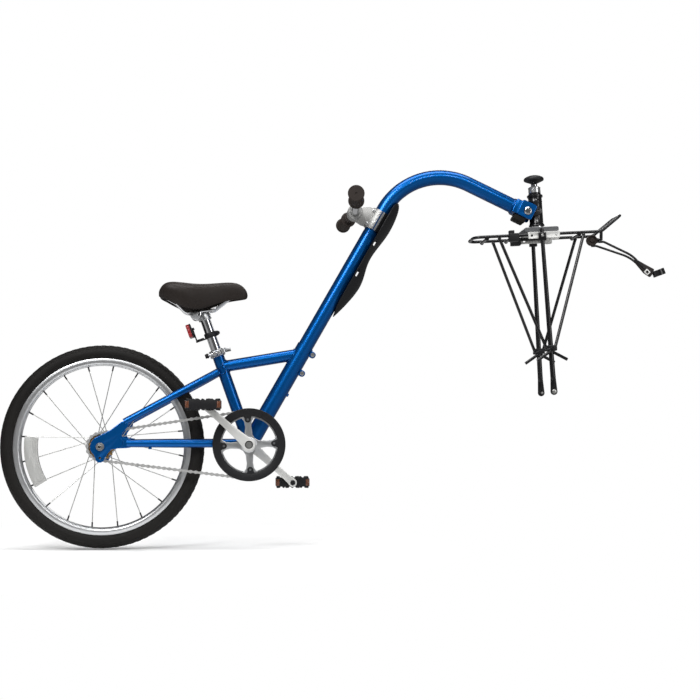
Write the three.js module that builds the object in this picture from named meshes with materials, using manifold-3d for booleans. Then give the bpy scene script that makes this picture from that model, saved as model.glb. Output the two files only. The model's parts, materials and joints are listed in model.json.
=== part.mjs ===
// A trailer bike: a single-wheeled child's bicycle whose long bent tow tube hooks onto the upright post of a
// rack that is bolted to the bicycle in front. Millimetres, +X forward, +Z up, the chain on the -Y side.
// The origin is midway between the bolt holes of the rack's two feet.
import * as THREE from 'three';
import { mergeVertices } from 'three/addons/utils/BufferGeometryUtils.js';
import Module from 'manifold-3d';

const wasm = await Module();
wasm.setup();

// Clearances and facets
const gap = 0.3;
const overrun = 5;
const tubeSides = 16;
const rodSides = 6;
const roundSides = 16;
const bendSteps = 3;
const wheelSides = 30;
const degree = THREE.MathUtils.degToRad;

// Rack
const rackTilt = degree(3.3);
const deck = {
  height: 387, halfWidth: 44, rodRadius: 4, rearX: -166, frontX: 150, cornerRadius: 22,
  hoopX: 204, hoopRise: 40,
};
const crossRodXs = [-133, -72, 96];
const topPlate = { rearX: -40, frontX: 45, halfWidth: 46, thickness: 12, cornerRadius: 9, lipDrop: 4, lipWall: 5 };
const channel = { rearX: -33, frontX: 46, wall: 2, clampBlock: 24, clampDrop: 14, clampRearX: -80, clampFrontX: -52 };
const leg = {
  footY: 75, topRadius: 4.8, lowRadius: 6.5, footWidth: 17, footThickness: 4, footRise: 34, boltHole: 3.3,
  topRise: 9,
};
const strut = {
  rearTopX: -104, frontTopX: 106, kneeHeight: 105, kneeX: 8, rearTailX: 41, frontTailX: -38, tailHeight: 76,
};
const strutClamp = { length: 30, height: 18, depth: 32, boltRadius: 3.5, boltHead: 4 };
const footBolt = { radius: 3, headRadius: 6, headThickness: 4.5, length: 16 };
const disc = { x: 130, drop: 19, y: -24, radius: 14, thickness: 10, hubRadius: 5, hubReach: 3 };
const bracket = { x: 150, drop: 19, bar: 6, strapThickness: 4, strapHeight: 12 };
const stay = {
  rodRadius: 3, bandX: 300, bandHeight: 282, bandRadius: 16, bandWall: 3, bandWidth: 16, bandLean: degree(17),
  neckX: 266, neckHeight: 291, spreadX: 231, spreadHeight: 327, spreadY: 15,
};

// Hitch on the rack's post
const post = { radius: 9.5, height: 89.9, flangeRadius: 15, flangeHeight: 3, boreRadius: 3.6, boreDepth: 58 };
const liner = {
  radius: 13, footRadius: 16.5, footHeight: 3.1, rise: 15.5, shoulderRadius: 15.2, stemBore: 7.8, headWall: 14,
};
const sleeve = {
  radius: 17, rise: 0.5, flareRadius: 19.6, flareHeight: 4, collarRadius: 19.5, collarWidth: 6, lipRadius: 15.2,
  lipHeight: 5,
};
const lug = { halfWidth: 19, reach: 24.7, radius: 12, boltRise: 36.7 };
const knob = { radius: 25, rise: 8.7, height: 21.3, stemRadius: 7.5, pinRadius: 3, stemLength: 14.7, pinLength: 35 };
const pitchBolt = { radius: 5, headRadius: 10, headThickness: 5 };
const yoke = {
  cheekRear: 22, cheekFront: 17, height: 40, rise: 2, inner: 20.2, wall: 5.3, webLength: 14, spigot: 22,
};
const bumper = { rear: 26, front: 5, height: 14, halfWidth: 22 };

// Tow tube
const tow = {
  radius: 18.7, bore: 16.9, angle: degree(60.3), endAngle: degree(25.6), straight: 665.4, bendRadius: 161.5,
  endLength: 121.7, endToBolt: 37.9, insertion: 190, bendStations: 9,
};
const barClamp = {
  middle: 630, length: 52, wall: 5.5, split: 3, barrelHalf: 23, barrelWall: 7, neckHalf: 17, bossRadius: 6,
  screwRadius: 3, screwSpread: 17,
};
const bar = {
  offset: 59, along: 621, radius: 11.1, centreHalf: 48, riseY: 108, rise: 6, sweep: 13, halfLength: 250,
  sides: 12,
};
const grip = { radius: 16.5, flangeRadius: 19.5, flangeWidth: 4, innerY: 146, endWall: 3 };
const guardPlate = {
  bottom: 372, length: 323, thickness: 2.6, edgeOffset: 17, widest: 46, deepest: 45,
  clearance: 3.6,
};

// Frame
const sleeveTube = { radius: 20.5, bore: 19, start: 8, top: 276, boreStart: 62, slit: 3, slitLength: 92 };
const ear = { offset: 25.5, upper: 265, lower: 213, radius: 8, halfWidth: 9, boltRadius: 3, headRadius: 5.5, head: 4 };
const cableBoss = { along: 150, radius: 4.5, rise: 3.5 };
const shell = { radius: 21, halfWidth: 34, sides: 20 };
const seatTube = { lean: degree(19.6), radius: 14.3, bore: 12.7, top: 242, boreDepth: 190 };
const topTube = { radius: 14.3, rearAlong: 200, frontAlong: 254 };
const wheelBack = 352;
const wheelDrop = 4.4;
const chainStay = {
  radius: 10.5, frontX: -10, frontY: 18, crimpX: -104, crimpY: 31, rearX: -176, rearY: 45, tipX: -284, height: 3.2,
};
const seatStay = {
  radius: 9.5, tipX: -300, tipZ: 52, bendX: -108.3, bendZ: 156.7, bendY: 27, endX: -73.7, endZ: 176, endY: 19,
};
const dropout = {
  y: 57, thickness: 6, radius: 24, chainReach: 62, chainRise: 8, chainRadius: 10, seatReachX: 58, seatReachZ: 52,
  seatRadius: 9, tabX: 0, tabDrop: 27, tabRadius: 11, tabHole: 3, slotRadius: 5.4,
};
const axle = { radius: 5, nutRadius: 9.5, nutThickness: 7, tipLength: 6 };

// Seat
const seatPost = { radius: 12.4, bottom: 120, top: 338 };
const collar = { middle: 235, height: 18, radius: 19, slit: 2, earInner: 16, earOuter: 31, earHalf: 10 };
const skewer = { y: 24, radius: 2.5, nutRadius: 6, nutLength: 7 };
const lever = { length: 44, turn: degree(66), camRadius: 6.5, camHeight: 12, width: 11, thickness: 5 };
const lampClamp = { along: 282, height: 13, wall: 3, strap: 3, strapHalf: 7, back: 38, boltRadius: 3, boltReach: 9 };
const reflector = { thickness: 12, height: 34, halfWidth: 27, cornerRadius: 9, middleRise: 25, studRadius: 3 };
const saddleClamp = {
  along: 340.3, back: 17.5, bandWall: 3.5, bandHeight: 18, lugHalf: 16, lugRadius: 10, boltRadius: 4, nutRadius: 7,
  nutLength: 5, discRadius: 13.5, discInner: 16.8, discOuter: 25.5,
};
const rail = { radius: 3.5, y: 21.2, rearY: 36, noseY: 11 };
const railPath = { rearX: -62, rearZ: 68, sitX: -23.4, sitZ: 2.8, frontX: 43.8, frontZ: 10.8, noseX: 98, noseZ: 53 };
const cover = { rearX: -89.4, length: 215.3, base: 6.8, height: 73.6, halfWidth: 80 };

// Wheel
const tyre = { radius: 247, halfWidth: 22, depth: 37, beadY: 12, wall: 4, sideShare: 1.16, crownShare: 0.88 };
const rim = { depth: 15.5, halfWidth: 14, wall: 3, beadInset: 11 };
const spoke = {
  count: 20, sides: 3, radius: 1.3, hubRadius: 21, lead: degree(74),
  start: degree(-7),
};
const hub = { barrel: 13, flangeRadius: 26, flangeThickness: 3, rightFlange: 22, leftFlange: 27, end: 33 };
const spokeReflector = { angle: degree(192), inset: 6.5, depth: 33, halfSpan: degree(20), halfThickness: 7.5 };

// Crankset and chain
const chainPitch = 12.7;
const chainLine = 42;
const ringTeeth = 40;
const cogTeeth = 16;
const tooth = { rise: 1, root: 4.6, rootShare: 0.5 };
const ring = { thickness: 2.4, inner: 64, hubRadius: 20, armWidth: 16, arms: 4, armAngle: degree(3), hubThickness: 7 };
const cog = { inner: 18, hubLength: 8, hubRadius: 24 };
const chain = { halfWidth: 4.2, halfHeight: 4.2, groove: 1.9, grooveRise: 1.6, ringStations: 20, cogStations: 9 };
const guard = { y: 47.2, thickness: 3, outer: 88, inner: 68.5, tabRadius: 9, tabPlace: 64, studRadius: 4 };
const spindle = { radius: 8, halfLength: 67 };
const crank = {
  length: 143.5, angle: degree(138.4), inner: 52, thickness: 14, bossRadius: 16, eyeRadius: 10.5, bossReach: 2.7,
  pinRadius: 4.5, pinLength: 66,
};
const pedal = { halfLength: 42.5, halfHeight: 14.5, width: 60, window: 16, windowLength: 24, corner: 6, endWall: 3 };

// Helpers
const point = (x, y, z) => new THREE.Vector3(x, y, z);
const both = [['right', -1], ['left', 1]];

function material(color, roughness, metalness) {
  return new THREE.MeshStandardMaterial({ color, roughness, metalness });
}

const blackSteel = material(0x141416, 0.35, 0.5);
const silver = material(0xc9cbce, 0.35, 0.8);
const chrome = material(0xdfe2e5, 0.12, 1);
const bluePaint = material(0x1c3f9e, 0.3, 0.5);
const blackRubber = material(0x1b1a1a, 0.8, 0);
const blackPlastic = material(0x17181a, 0.5, 0);
const vinyl = material(0x221d1b, 0.6, 0);
const redLens = material(0xb01818, 0.25, 0);
const clearLens = material(0xe8e8e4, 0.25, 0);
const bronze = material(0x8a6a3c, 0.4, 0.8);
const chainSteel = material(0xa7a8a6, 0.35, 0.9);

// A solid's vertices and triangles, with its faces turned outward.
function toSolid(geometry) {
  const bare = geometry.clone();
  bare.deleteAttribute('normal');
  bare.deleteAttribute('uv');
  const merged = mergeVertices(bare);
  const places = Float32Array.from(merged.attributes.position.array);
  const corners = [];
  const a = point(0, 0, 0);
  const b = point(0, 0, 0);
  const c = point(0, 0, 0);
  let volume = 0;
  for (let i = 0; i < merged.index.count; i += 3) {
    const [p, q, r] = [0, 1, 2].map((k) => merged.index.getX(i + k));
    if (p === q || q === r || r === p) continue;
    a.fromArray(places, p * 3);
    b.fromArray(places, q * 3);
    c.fromArray(places, r * 3);
    volume += a.dot(b.cross(c));
    corners.push(p, q, r);
  }
  if (volume < 0) corners.reverse();
  return new wasm.Manifold(new wasm.Mesh({
    numProp: 3, vertProperties: places, triVerts: Uint32Array.from(corners),
  }));
}

function toGeometry(solid) {
  const mesh = solid.getMesh();
  const geometry = new THREE.BufferGeometry();
  geometry.setAttribute('position', new THREE.BufferAttribute(mesh.vertProperties, 3));
  geometry.setIndex(new THREE.BufferAttribute(mesh.triVerts, 1));
  geometry.computeVertexNormals();
  return geometry;
}

function join(...pieces) {
  return toGeometry(pieces.map(toSolid).reduce((whole, piece) => whole.add(piece)));
}

function cut(piece, ...tools) {
  return toGeometry(tools.map(toSolid).reduce((whole, tool) => whole.subtract(tool), toSolid(piece)));
}

function add(parent, name, geometry, finish) {
  const mesh = new THREE.Mesh(toGeometry(toSolid(geometry)), finish);
  mesh.name = name;
  parent.add(mesh);
  return mesh;
}

function group(parent, place, turnY = 0) {
  const frame = new THREE.Group();
  frame.position.copy(place);
  frame.rotation.y = turnY;
  if (parent) parent.add(frame);
  frame.updateMatrixWorld(true);
  return frame;
}

// A box between two opposite corners.
function block(low, high) {
  const size = high.clone().sub(low);
  return new THREE.BoxGeometry(Math.abs(size.x), Math.abs(size.y), Math.abs(size.z))
    .translate(...low.clone().add(high).multiplyScalar(0.5).toArray());
}

// A round bar from one point to another.
function rod(from, to, radius, sides = rodSides, endRadius = radius) {
  const along = to.clone().sub(from);
  const turn = new THREE.Quaternion().setFromUnitVectors(point(0, 1, 0), along.clone().normalize());
  return new THREE.CylinderGeometry(endRadius, radius, along.length(), sides)
    .applyQuaternion(turn).translate(...from.clone().add(to).multiplyScalar(0.5).toArray());
}

// The radius of a faceted bar whose flats clear a round one by the gap.
const around = (radius, sides) => (radius + gap) / Math.cos(Math.PI / sides);

// A bar across the bicycle, centred on x and z, between two values of y.
function crossBar(x, z, fromY, toY, radius, sides = rodSides) {
  return rod(point(x, Math.min(fromY, toY), z), point(x, Math.max(fromY, toY), z), radius, sides);
}

// A ring or pipe across the bicycle.
function crossRing(x, z, fromY, toY, outer, inner, sides = roundSides) {
  return cut(
    crossBar(x, z, fromY, toY, outer, sides),
    crossBar(x, z, Math.min(fromY, toY) - overrun, Math.max(fromY, toY) + overrun, inner, sides),
  );
}

// A turned piece: pairs of radius and height about the Z axis.
function turned(profile, sides = roundSides) {
  return new THREE.LatheGeometry(profile.map(([r, z]) => new THREE.Vector2(r, z)), sides).rotateX(Math.PI / 2);
}

// A route through knots that keeps each knot as a station of the sweep.
class Route extends THREE.Curve {
  constructor(knots) {
    super();
    this.knots = knots;
  }

  getPoint(t, target = point(0, 0, 0)) {
    const place = t * (this.knots.length - 1);
    const index = Math.min(Math.floor(place), this.knots.length - 2);
    return target.lerpVectors(this.knots[index], this.knots[index + 1], place - index);
  }

  getPointAt(t, target) {
    return this.getPoint(t, target);
  }

  getTangentAt(t, target = point(0, 0, 0)) {
    const last = this.knots.length - 1;
    const index = Math.round(t * last);
    const here = this.knots[index];
    const before = here.clone().sub(this.knots[Math.max(index - 1, 0)]).normalize();
    const after = this.knots[Math.min(index + 1, last)].clone().sub(here).normalize();
    return target.copy(before).add(after).normalize();
  }
}

function circle(radius, sides) {
  const corners = Array.from({ length: sides }, (_, i) => {
    const angle = (2 * Math.PI * i) / sides;
    return new THREE.Vector2(radius * Math.cos(angle), radius * Math.sin(angle));
  });
  return new THREE.Shape(corners);
}

function sweep(knots, radius, sides = rodSides) {
  return new THREE.ExtrudeGeometry(circle(radius, sides), {
    steps: knots.length - 1, extrudePath: new Route(knots), bevelEnabled: false,
  });
}

// The knots of a line whose inner corners are rounded.
function rounded(corners, radius, steps = bendSteps) {
  const knots = [corners[0]];
  for (let i = 1; i < corners.length - 1; i += 1) {
    const before = corners[i - 1].clone().sub(corners[i]).normalize();
    const after = corners[i + 1].clone().sub(corners[i]).normalize();
    const half = before.angleTo(after) / 2;
    const inward = before.clone().add(after).normalize();
    const centre = corners[i].clone().addScaledVector(inward, radius / Math.sin(half));
    const start = corners[i].clone().addScaledVector(before, radius / Math.tan(half)).sub(centre);
    const end = corners[i].clone().addScaledVector(after, radius / Math.tan(half)).sub(centre);
    const pivot = start.clone().cross(end).normalize();
    for (let k = 0; k <= steps; k += 1) {
      knots.push(start.clone().applyAxisAngle(pivot, ((Math.PI - 2 * half) * k) / steps).add(centre));
    }
  }
  knots.push(corners[corners.length - 1]);
  return knots;
}

// A flat outline in x and z, given thickness between two values of y.
function plate(outline, fromY, toY) {
  const shape = outline instanceof THREE.Shape ? outline : new THREE.Shape(outline);
  return new THREE.ExtrudeGeometry(shape, { depth: Math.abs(toY - fromY), bevelEnabled: false, curveSegments: 5 })
    .rotateX(Math.PI / 2).translate(0, Math.max(fromY, toY), 0);
}

// The outline of a bar with two round ends of their own radii.
function linkShape(ax, az, bx, bz, aRadius, bRadius) {
  const heading = Math.atan2(bz - az, bx - ax);
  const steps = 5;
  const corners = [];
  for (let k = 0; k <= steps; k += 1) {
    const angle = heading + Math.PI / 2 + (Math.PI * k) / steps;
    corners.push(new THREE.Vector2(ax + aRadius * Math.cos(angle), az + aRadius * Math.sin(angle)));
  }
  for (let k = 0; k <= steps; k += 1) {
    const angle = heading - Math.PI / 2 + (Math.PI * k) / steps;
    corners.push(new THREE.Vector2(bx + bRadius * Math.cos(angle), bz + bRadius * Math.sin(angle)));
  }
  return corners;
}

// A rectangle with rounded corners.
function softRectangle(lowX, lowZ, highX, highZ, radius) {
  const shape = new THREE.Shape();
  shape.moveTo(lowX + radius, lowZ);
  shape.lineTo(highX - radius, lowZ);
  shape.absarc(highX - radius, lowZ + radius, radius, -Math.PI / 2, 0);
  shape.lineTo(highX, highZ - radius);
  shape.absarc(highX - radius, highZ - radius, radius, 0, Math.PI / 2);
  shape.lineTo(lowX + radius, highZ);
  shape.absarc(lowX + radius, highZ - radius, radius, Math.PI / 2, Math.PI);
  shape.lineTo(lowX, lowZ + radius);
  shape.absarc(lowX + radius, lowZ + radius, radius, Math.PI, 1.5 * Math.PI);
  return shape;
}

const trailerBike = new THREE.Group();

// The rack, in a frame that leans back with it
const rack = group(trailerBike, point(0, 0, 0), -rackTilt);
const railTop = deck.height + deck.rodRadius;
const legTopY = deck.halfWidth + deck.rodRadius + channel.wall + 2 * gap + leg.topRadius;
const legTop = (side) => point(0, side * legTopY, railTop + leg.topRise);
const legFoot = (side) => point(0, side * leg.footY, leg.footRise);

function legRod(side, extra = 0) {
  return rod(legTop(side), legFoot(side), leg.topRadius + extra, rodSides, leg.lowRadius + extra);
}

// The leg's centre line at a height on the rack.
function legAt(side, height) {
  const share = (height - leg.footRise) / (railTop + leg.topRise - leg.footRise);
  return legFoot(side).lerp(legTop(side), share);
}

function deckHalf(side) {
  const front = (x, z, y = deck.halfWidth) => point(x, side * y, z);
  return sweep(rounded([
    point(deck.rearX, -side * deck.rodRadius, deck.height),
    front(deck.rearX, deck.height),
    front(deck.frontX, deck.height),
    front(deck.hoopX, deck.height + deck.hoopRise),
    point(deck.hoopX, -side * deck.rodRadius, deck.height + deck.hoopRise),
  ], deck.cornerRadius), deck.rodRadius);
}

// A rail's stretch along the bicycle, for cutting what lies against it.
function railBar(y, z, radius) {
  return rod(point(deck.rearX, y, z), point(deck.frontX, y, z), radius);
}

const discHeight = deck.height - disc.drop;

function buildDeck() {
  const rods = crossRodXs.map((x) => crossBar(
    x, deck.height - deck.rodRadius, -deck.halfWidth, deck.halfWidth, deck.rodRadius));
  const bracketZ = deck.height - bracket.drop;
  const hangers = both.map(([, side]) => rod(
    point(bracket.x, side * deck.halfWidth, deck.height),
    point(bracket.x, side * (deck.halfWidth - bracket.bar), bracketZ), deck.rodRadius));
  const lowBar = block(
    point(bracket.x - bracket.bar / 2, -deck.halfWidth, bracketZ - bracket.bar / 2),
    point(bracket.x + bracket.bar / 2, deck.halfWidth, bracketZ + bracket.bar / 2));
  const strapY = disc.y + disc.thickness / 2 + gap;
  const strap = block(
    point(disc.x - disc.hubRadius, strapY, discHeight - bracket.strapHeight / 2),
    point(bracket.x, strapY + bracket.strapThickness, discHeight + bracket.strapHeight / 2));
  return join(deckHalf(-1), deckHalf(1), ...rods, ...hangers, lowBar, strap);
}

function buildTopPlate() {
  const low = railTop + channel.wall + gap;
  const high = low + topPlate.thickness;
  return plate(
    softRectangle(topPlate.rearX, low, topPlate.frontX, high, topPlate.cornerRadius / 2),
    -topPlate.halfWidth, topPlate.halfWidth);
}

function buildChannel() {
  const outer = deck.halfWidth + deck.rodRadius + gap + channel.wall;
  const top = railTop + channel.wall;
  const low = deck.height - deck.rodRadius - channel.clampDrop / 2;
  const shellBlock = block(point(channel.rearX, -outer, low), point(channel.frontX, outer, top));
  const inside = block(
    point(channel.rearX - overrun, -outer + channel.wall, low - overrun),
    point(channel.frontX + overrun, outer - channel.wall, railTop + gap));
  const blockTop = railTop + gap;
  const clampPieces = both.map(([, side]) => cut(
    block(
      point(channel.frontX - channel.clampBlock, side * (outer - channel.wall), blockTop),
      point(channel.frontX - channel.wall, side * (deck.halfWidth - channel.clampBlock / 2),
        deck.height - channel.clampDrop)),
    railBar(side * deck.halfWidth, deck.height, around(deck.rodRadius, rodSides))));
  return join(cut(shellBlock, inside), ...clampPieces);
}

function buildLeg(side) {
  const outer = side * (leg.footY + leg.footThickness / 2);
  const inner = side * (leg.footY - leg.footThickness / 2);
  const foot = plate(linkShape(0, 0, 0, leg.footRise, leg.footWidth / 2, leg.lowRadius), inner, outer);
  return cut(join(legRod(side), foot), crossBar(0, 0, inner - overrun, outer + overrun, leg.boltHole));
}

// A strut from under its rail, past the leg's side, to a short tail beyond it.
function strutKnots(side, topX, kneeX, tailX, shift) {
  const kneeY = legAt(side, strut.kneeHeight).y + shift;
  const tailY = legAt(side, strut.tailHeight).y + shift;
  return rounded([
    point(topX, side * deck.halfWidth, deck.height),
    point(kneeX, kneeY, strut.kneeHeight),
    point(tailX, tailY, strut.tailHeight),
  ], deck.cornerRadius);
}

const strutShift = leg.lowRadius + deck.rodRadius + 2 * gap;
const rearStrutKnots = (side) => strutKnots(side, strut.rearTopX, -strut.kneeX, strut.rearTailX, strutShift);
const frontStrutKnots = (side) => strutKnots(side, strut.frontTopX, strut.kneeX, strut.frontTailX, -strutShift);

function buildStrut(knots, side) {
  return cut(
    sweep(knots, deck.rodRadius), railBar(side * deck.halfWidth, deck.height, around(deck.rodRadius, rodSides)));
}

function buildStrutClamp(side) {
  const middle = legAt(side, strut.kneeHeight);
  const body = block(
    point(-strutClamp.length / 2, middle.y - strutClamp.depth / 2, middle.z - strutClamp.height / 2),
    point(strutClamp.length / 2, middle.y + strutClamp.depth / 2, middle.z + strutClamp.height / 2));
  const outer = middle.y + side * strutClamp.depth / 2;
  const screw = crossBar(0, middle.z, outer - side * strutClamp.boltHead, outer + side * strutClamp.boltHead,
    strutClamp.boltRadius, roundSides);
  return cut(
    join(body, screw),
    legRod(side, gap),
    sweep(rearStrutKnots(side), deck.rodRadius + gap),
    sweep(frontStrutKnots(side), deck.rodRadius + gap));
}

function buildFootBolt(side) {
  const face = side * (leg.footY + leg.footThickness / 2 + gap);
  return join(
    crossBar(0, 0, face, face + side * footBolt.headThickness, footBolt.headRadius, roundSides),
    crossBar(0, 0, face + side * gap, face - side * footBolt.length, footBolt.radius - gap / 2));
}

function buildDisc() {
  const near = disc.y - disc.thickness / 2;
  const far = disc.y + disc.thickness / 2;
  return join(
    crossBar(disc.x, discHeight, near, far, disc.radius, roundSides),
    crossBar(disc.x, discHeight, near - disc.hubReach, far, disc.hubRadius, roundSides));
}

function buildStay() {
  const seat = deck.height - bracket.drop - bracket.bar / 2 - stay.rodRadius - gap;
  const rods = both.map(([, side]) => sweep(rounded([
    point(bracket.x - bracket.bar, side * (deck.halfWidth - bracket.bar), seat),
    point(bracket.x + bracket.bar, side * (deck.halfWidth - bracket.bar), seat),
    point(stay.spreadX, side * stay.spreadY, stay.spreadHeight),
    point(stay.neckX, side * stay.rodRadius, stay.neckHeight),
    point(stay.bandX - stay.bandRadius, side * stay.rodRadius, stay.bandHeight),
  ], stay.rodRadius * 3), stay.rodRadius));
  const half = stay.bandWidth / 2;
  const inner = stay.bandRadius - stay.bandWall;
  const band = turned([
    [inner, -half], [stay.bandRadius, -half], [stay.bandRadius, half], [inner, half], [inner, -half],
  ]).rotateY(-stay.bandLean).translate(stay.bandX, 0, stay.bandHeight);
  const bore = turned([[0, -half - overrun], [inner, -half - overrun], [inner, half + overrun], [0, half + overrun]])
    .rotateY(-stay.bandLean).translate(stay.bandX, 0, stay.bandHeight);
  return join(cut(join(...rods), bore), band);
}

const plateTop = railTop + channel.wall + gap + topPlate.thickness;
const postFoot = plateTop + gap;
const postTop = postFoot + post.height;
const flangeTop = postFoot + post.flangeHeight;

function buildPost() {
  return turned([
    [0, postFoot], [post.flangeRadius, postFoot], [post.flangeRadius, flangeTop],
    [post.radius, flangeTop], [post.radius, postTop], [post.boreRadius, postTop],
    [post.boreRadius, postTop - post.boreDepth], [0, postTop - post.boreDepth],
  ]);
}

add(rack, 'rack_deck', buildDeck(), blackSteel);
add(rack, 'rack_top_plate', buildTopPlate(), blackPlastic);
add(rack, 'rack_channel', buildChannel(), silver);
add(rack, 'hitch_post', buildPost(), chrome);
for (const [name, side] of both) {
  add(rack, `rack_leg_${name}`, buildLeg(side), blackSteel);
  add(rack, `rear_strut_${name}`, buildStrut(rearStrutKnots(side), side), blackSteel);
  add(rack, `front_strut_${name}`, buildStrut(frontStrutKnots(side), side), blackSteel);
  add(rack, `strut_clamp_${name}`, buildStrutClamp(side), blackPlastic);
  add(rack, `foot_bolt_${name}`, buildFootBolt(side), silver);
}
add(rack, 'rack_disc', buildDisc(), blackRubber);
add(rack, 'front_stay', buildStay(), blackSteel);

// The hitch that turns about the post
const linerFoot = flangeTop + gap;
const linerBore = post.radius + gap;
const linerTop = postTop + liner.rise;
const sleeveBottom = linerFoot + liner.footHeight + gap;
const sleeveTop = postTop + sleeve.rise;
const knobBottom = linerTop + knob.rise;
const boltHeight = sleeveBottom + lug.boltRise;

function buildLiner() {
  const shoulder = linerTop - liner.headWall;
  return turned([
    [linerBore, linerFoot], [liner.footRadius, linerFoot], [liner.footRadius, sleeveBottom - gap],
    [liner.radius, sleeveBottom - gap], [liner.radius, sleeveTop + gap],
    [liner.shoulderRadius, sleeveTop + gap], [liner.shoulderRadius, linerTop],
    [liner.stemBore, linerTop], [liner.stemBore, shoulder], [linerBore, shoulder], [linerBore, linerFoot],
  ]);
}

function buildKnob() {
  const top = knobBottom + knob.height;
  const waist = knobBottom + knob.height / 3;
  const crown = top - knob.height / 4;
  const stemFoot = knobBottom - knob.stemLength;
  const pinFoot = stemFoot - knob.pinLength;
  return turned([
    [0, pinFoot], [knob.pinRadius, pinFoot], [knob.pinRadius, stemFoot],
    [knob.stemRadius, stemFoot], [knob.stemRadius, knobBottom], [knob.radius, waist],
    [knob.radius, crown], [knob.radius - (top - crown), top], [0, top],
  ]);
}

function buildSleeve() {
  const bore = liner.radius + gap;
  const collarTop = sleeveTop - sleeve.lipHeight;
  const collarBottom = collarTop - sleeve.collarWidth;
  const barrel = turned([
    [bore, sleeveBottom], [sleeve.flareRadius, sleeveBottom],
    [sleeve.flareRadius, sleeveBottom + sleeve.flareHeight],
    [sleeve.radius, sleeveBottom + 2 * sleeve.flareHeight], [sleeve.radius, collarBottom],
    [sleeve.collarRadius, collarBottom], [sleeve.collarRadius, collarTop],
    [sleeve.lipRadius, collarTop], [sleeve.lipRadius, sleeveTop], [bore, sleeveTop],
    [bore, sleeveBottom],
  ]);
  const arm = plate(
    linkShape(-lug.reach, boltHeight, 0, boltHeight, lug.radius, lug.radius), -lug.halfWidth, lug.halfWidth);
  const hollow = turned([[0, sleeveBottom - overrun], [bore, sleeveBottom - overrun],
    [bore, sleeveTop + overrun], [0, sleeveTop + overrun]]);
  const eye = crossBar(-lug.reach, boltHeight, -lug.halfWidth - overrun, lug.halfWidth + overrun,
    pitchBolt.radius + gap, roundSides);
  return cut(join(barrel, arm), hollow, eye);
}

add(rack, 'hitch_liner', buildLiner(), chrome);
add(rack, 'release_knob', buildKnob(), chrome);
add(rack, 'hitch_sleeve', buildSleeve(), blackSteel);

// The yoke, in a frame on the pitch bolt that lies along the tow tube's front end
const boltPlace = rack.localToWorld(point(-lug.reach, 0, boltHeight));
const yokeFrame = group(trailerBike, boltPlace, tow.endAngle);

function buildYoke() {
  const low = yoke.rise - yoke.height / 2;
  const high = yoke.rise + yoke.height / 2;
  const outer = yoke.inner + yoke.wall;
  const cheeks = both.map(([, side]) => plate(
    softRectangle(-yoke.cheekRear, low, yoke.cheekFront, high, yoke.wall), side * yoke.inner, side * outer));
  const web = block(
    point(-yoke.cheekRear - yoke.webLength, -outer, low),
    point(-yoke.cheekRear, outer, tow.radius - gap));
  const rearFace = -yoke.cheekRear - yoke.webLength;
  const spigot = rod(
    point(rearFace - yoke.spigot, 0, 0), point(rearFace + gap, 0, 0), tow.bore - gap - gap, tubeSides);
  const eye = crossBar(0, 0, -outer - overrun, outer + overrun, pitchBolt.radius + gap, roundSides);
  return cut(join(...cheeks, web, spigot), eye);
}

function buildPitchBolt() {
  const face = yoke.inner + yoke.wall + gap;
  return join(
    crossBar(0, 0, -face, face, pitchBolt.radius, roundSides),
    ...both.map(([, side]) => crossBar(
      0, 0, side * face, side * (face + pitchBolt.headThickness), pitchBolt.headRadius, roundSides)));
}

function buildBumper() {
  const top = yoke.rise - yoke.height / 2 - gap;
  return plate(
    softRectangle(-bumper.rear, top - bumper.height, bumper.front, top, bumper.height / 3),
    -bumper.halfWidth, bumper.halfWidth);
}

add(yokeFrame, 'hitch_yoke', buildYoke(), bluePaint);
add(yokeFrame, 'pitch_bolt', buildPitchBolt(), silver);
add(yokeFrame, 'yoke_bumper', buildBumper(), blackRubber);

// The bottom bracket lies at the far end of the tow tube's line, worked back from the pitch bolt
const alongEnd = point(Math.cos(tow.endAngle), 0, -Math.sin(tow.endAngle));
const alongTow = point(Math.cos(tow.angle), 0, Math.sin(tow.angle));
const endSquare = point(-Math.sin(tow.endAngle), 0, -Math.cos(tow.endAngle));
const bendOut = boltPlace.clone().addScaledVector(alongEnd, -tow.endToBolt - tow.endLength);
const bendCentre = bendOut.clone().addScaledVector(endSquare, tow.bendRadius);
const towSquare = point(-Math.sin(tow.angle), 0, Math.cos(tow.angle));
const bendIn = bendCentre.clone().addScaledVector(towSquare, tow.bendRadius);
const bottomBracket = bendIn.clone().addScaledVector(alongTow, -tow.straight);
const tubeFrame = group(trailerBike, bottomBracket, -tow.angle);
const bike = group(trailerBike, bottomBracket);
const tubePlace = (place) => tubeFrame.worldToLocal(place.clone());

function towKnots(bendStations) {
  const startAlong = sleeveTube.top - tow.insertion;
  const knots = [point(startAlong, 0, 0)];
  const centre = tubePlace(bendCentre);
  const arm = tubePlace(bendIn).sub(centre);
  const turn = tow.angle + tow.endAngle;
  for (let k = 0; k <= bendStations; k += 1) {
    knots.push(arm.clone().applyAxisAngle(point(0, 1, 0), (turn * k) / bendStations).add(centre));
  }
  knots.push(tubePlace(boltPlace.clone().addScaledVector(alongEnd, -tow.endToBolt)));
  return knots;
}

function buildTowTube() {
  const knots = towKnots(tow.bendStations);
  const last = knots.length - 1;
  const first = knots[0].clone().sub(knots[1]).setLength(overrun).add(knots[0]);
  const end = knots[last].clone().sub(knots[last - 1]).setLength(overrun).add(knots[last]);
  return cut(
    sweep(knots, tow.radius, tubeSides),
    sweep([first, ...knots.slice(1, last), end], tow.bore, tubeSides));
}

add(tubeFrame, 'tow_tube', buildTowTube(), bluePaint);

// The bar clamp, its band, and the plate that keeps spray off
const clampStart = barClamp.middle - barClamp.length / 2;
const clampEnd = barClamp.middle + barClamp.length / 2;
const clampRadius = tow.radius + gap + barClamp.wall;

function tubeAlong(from, to, radius, sides = roundSides) {
  return rod(point(from, 0, 0), point(to, 0, 0), radius, sides);
}

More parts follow.
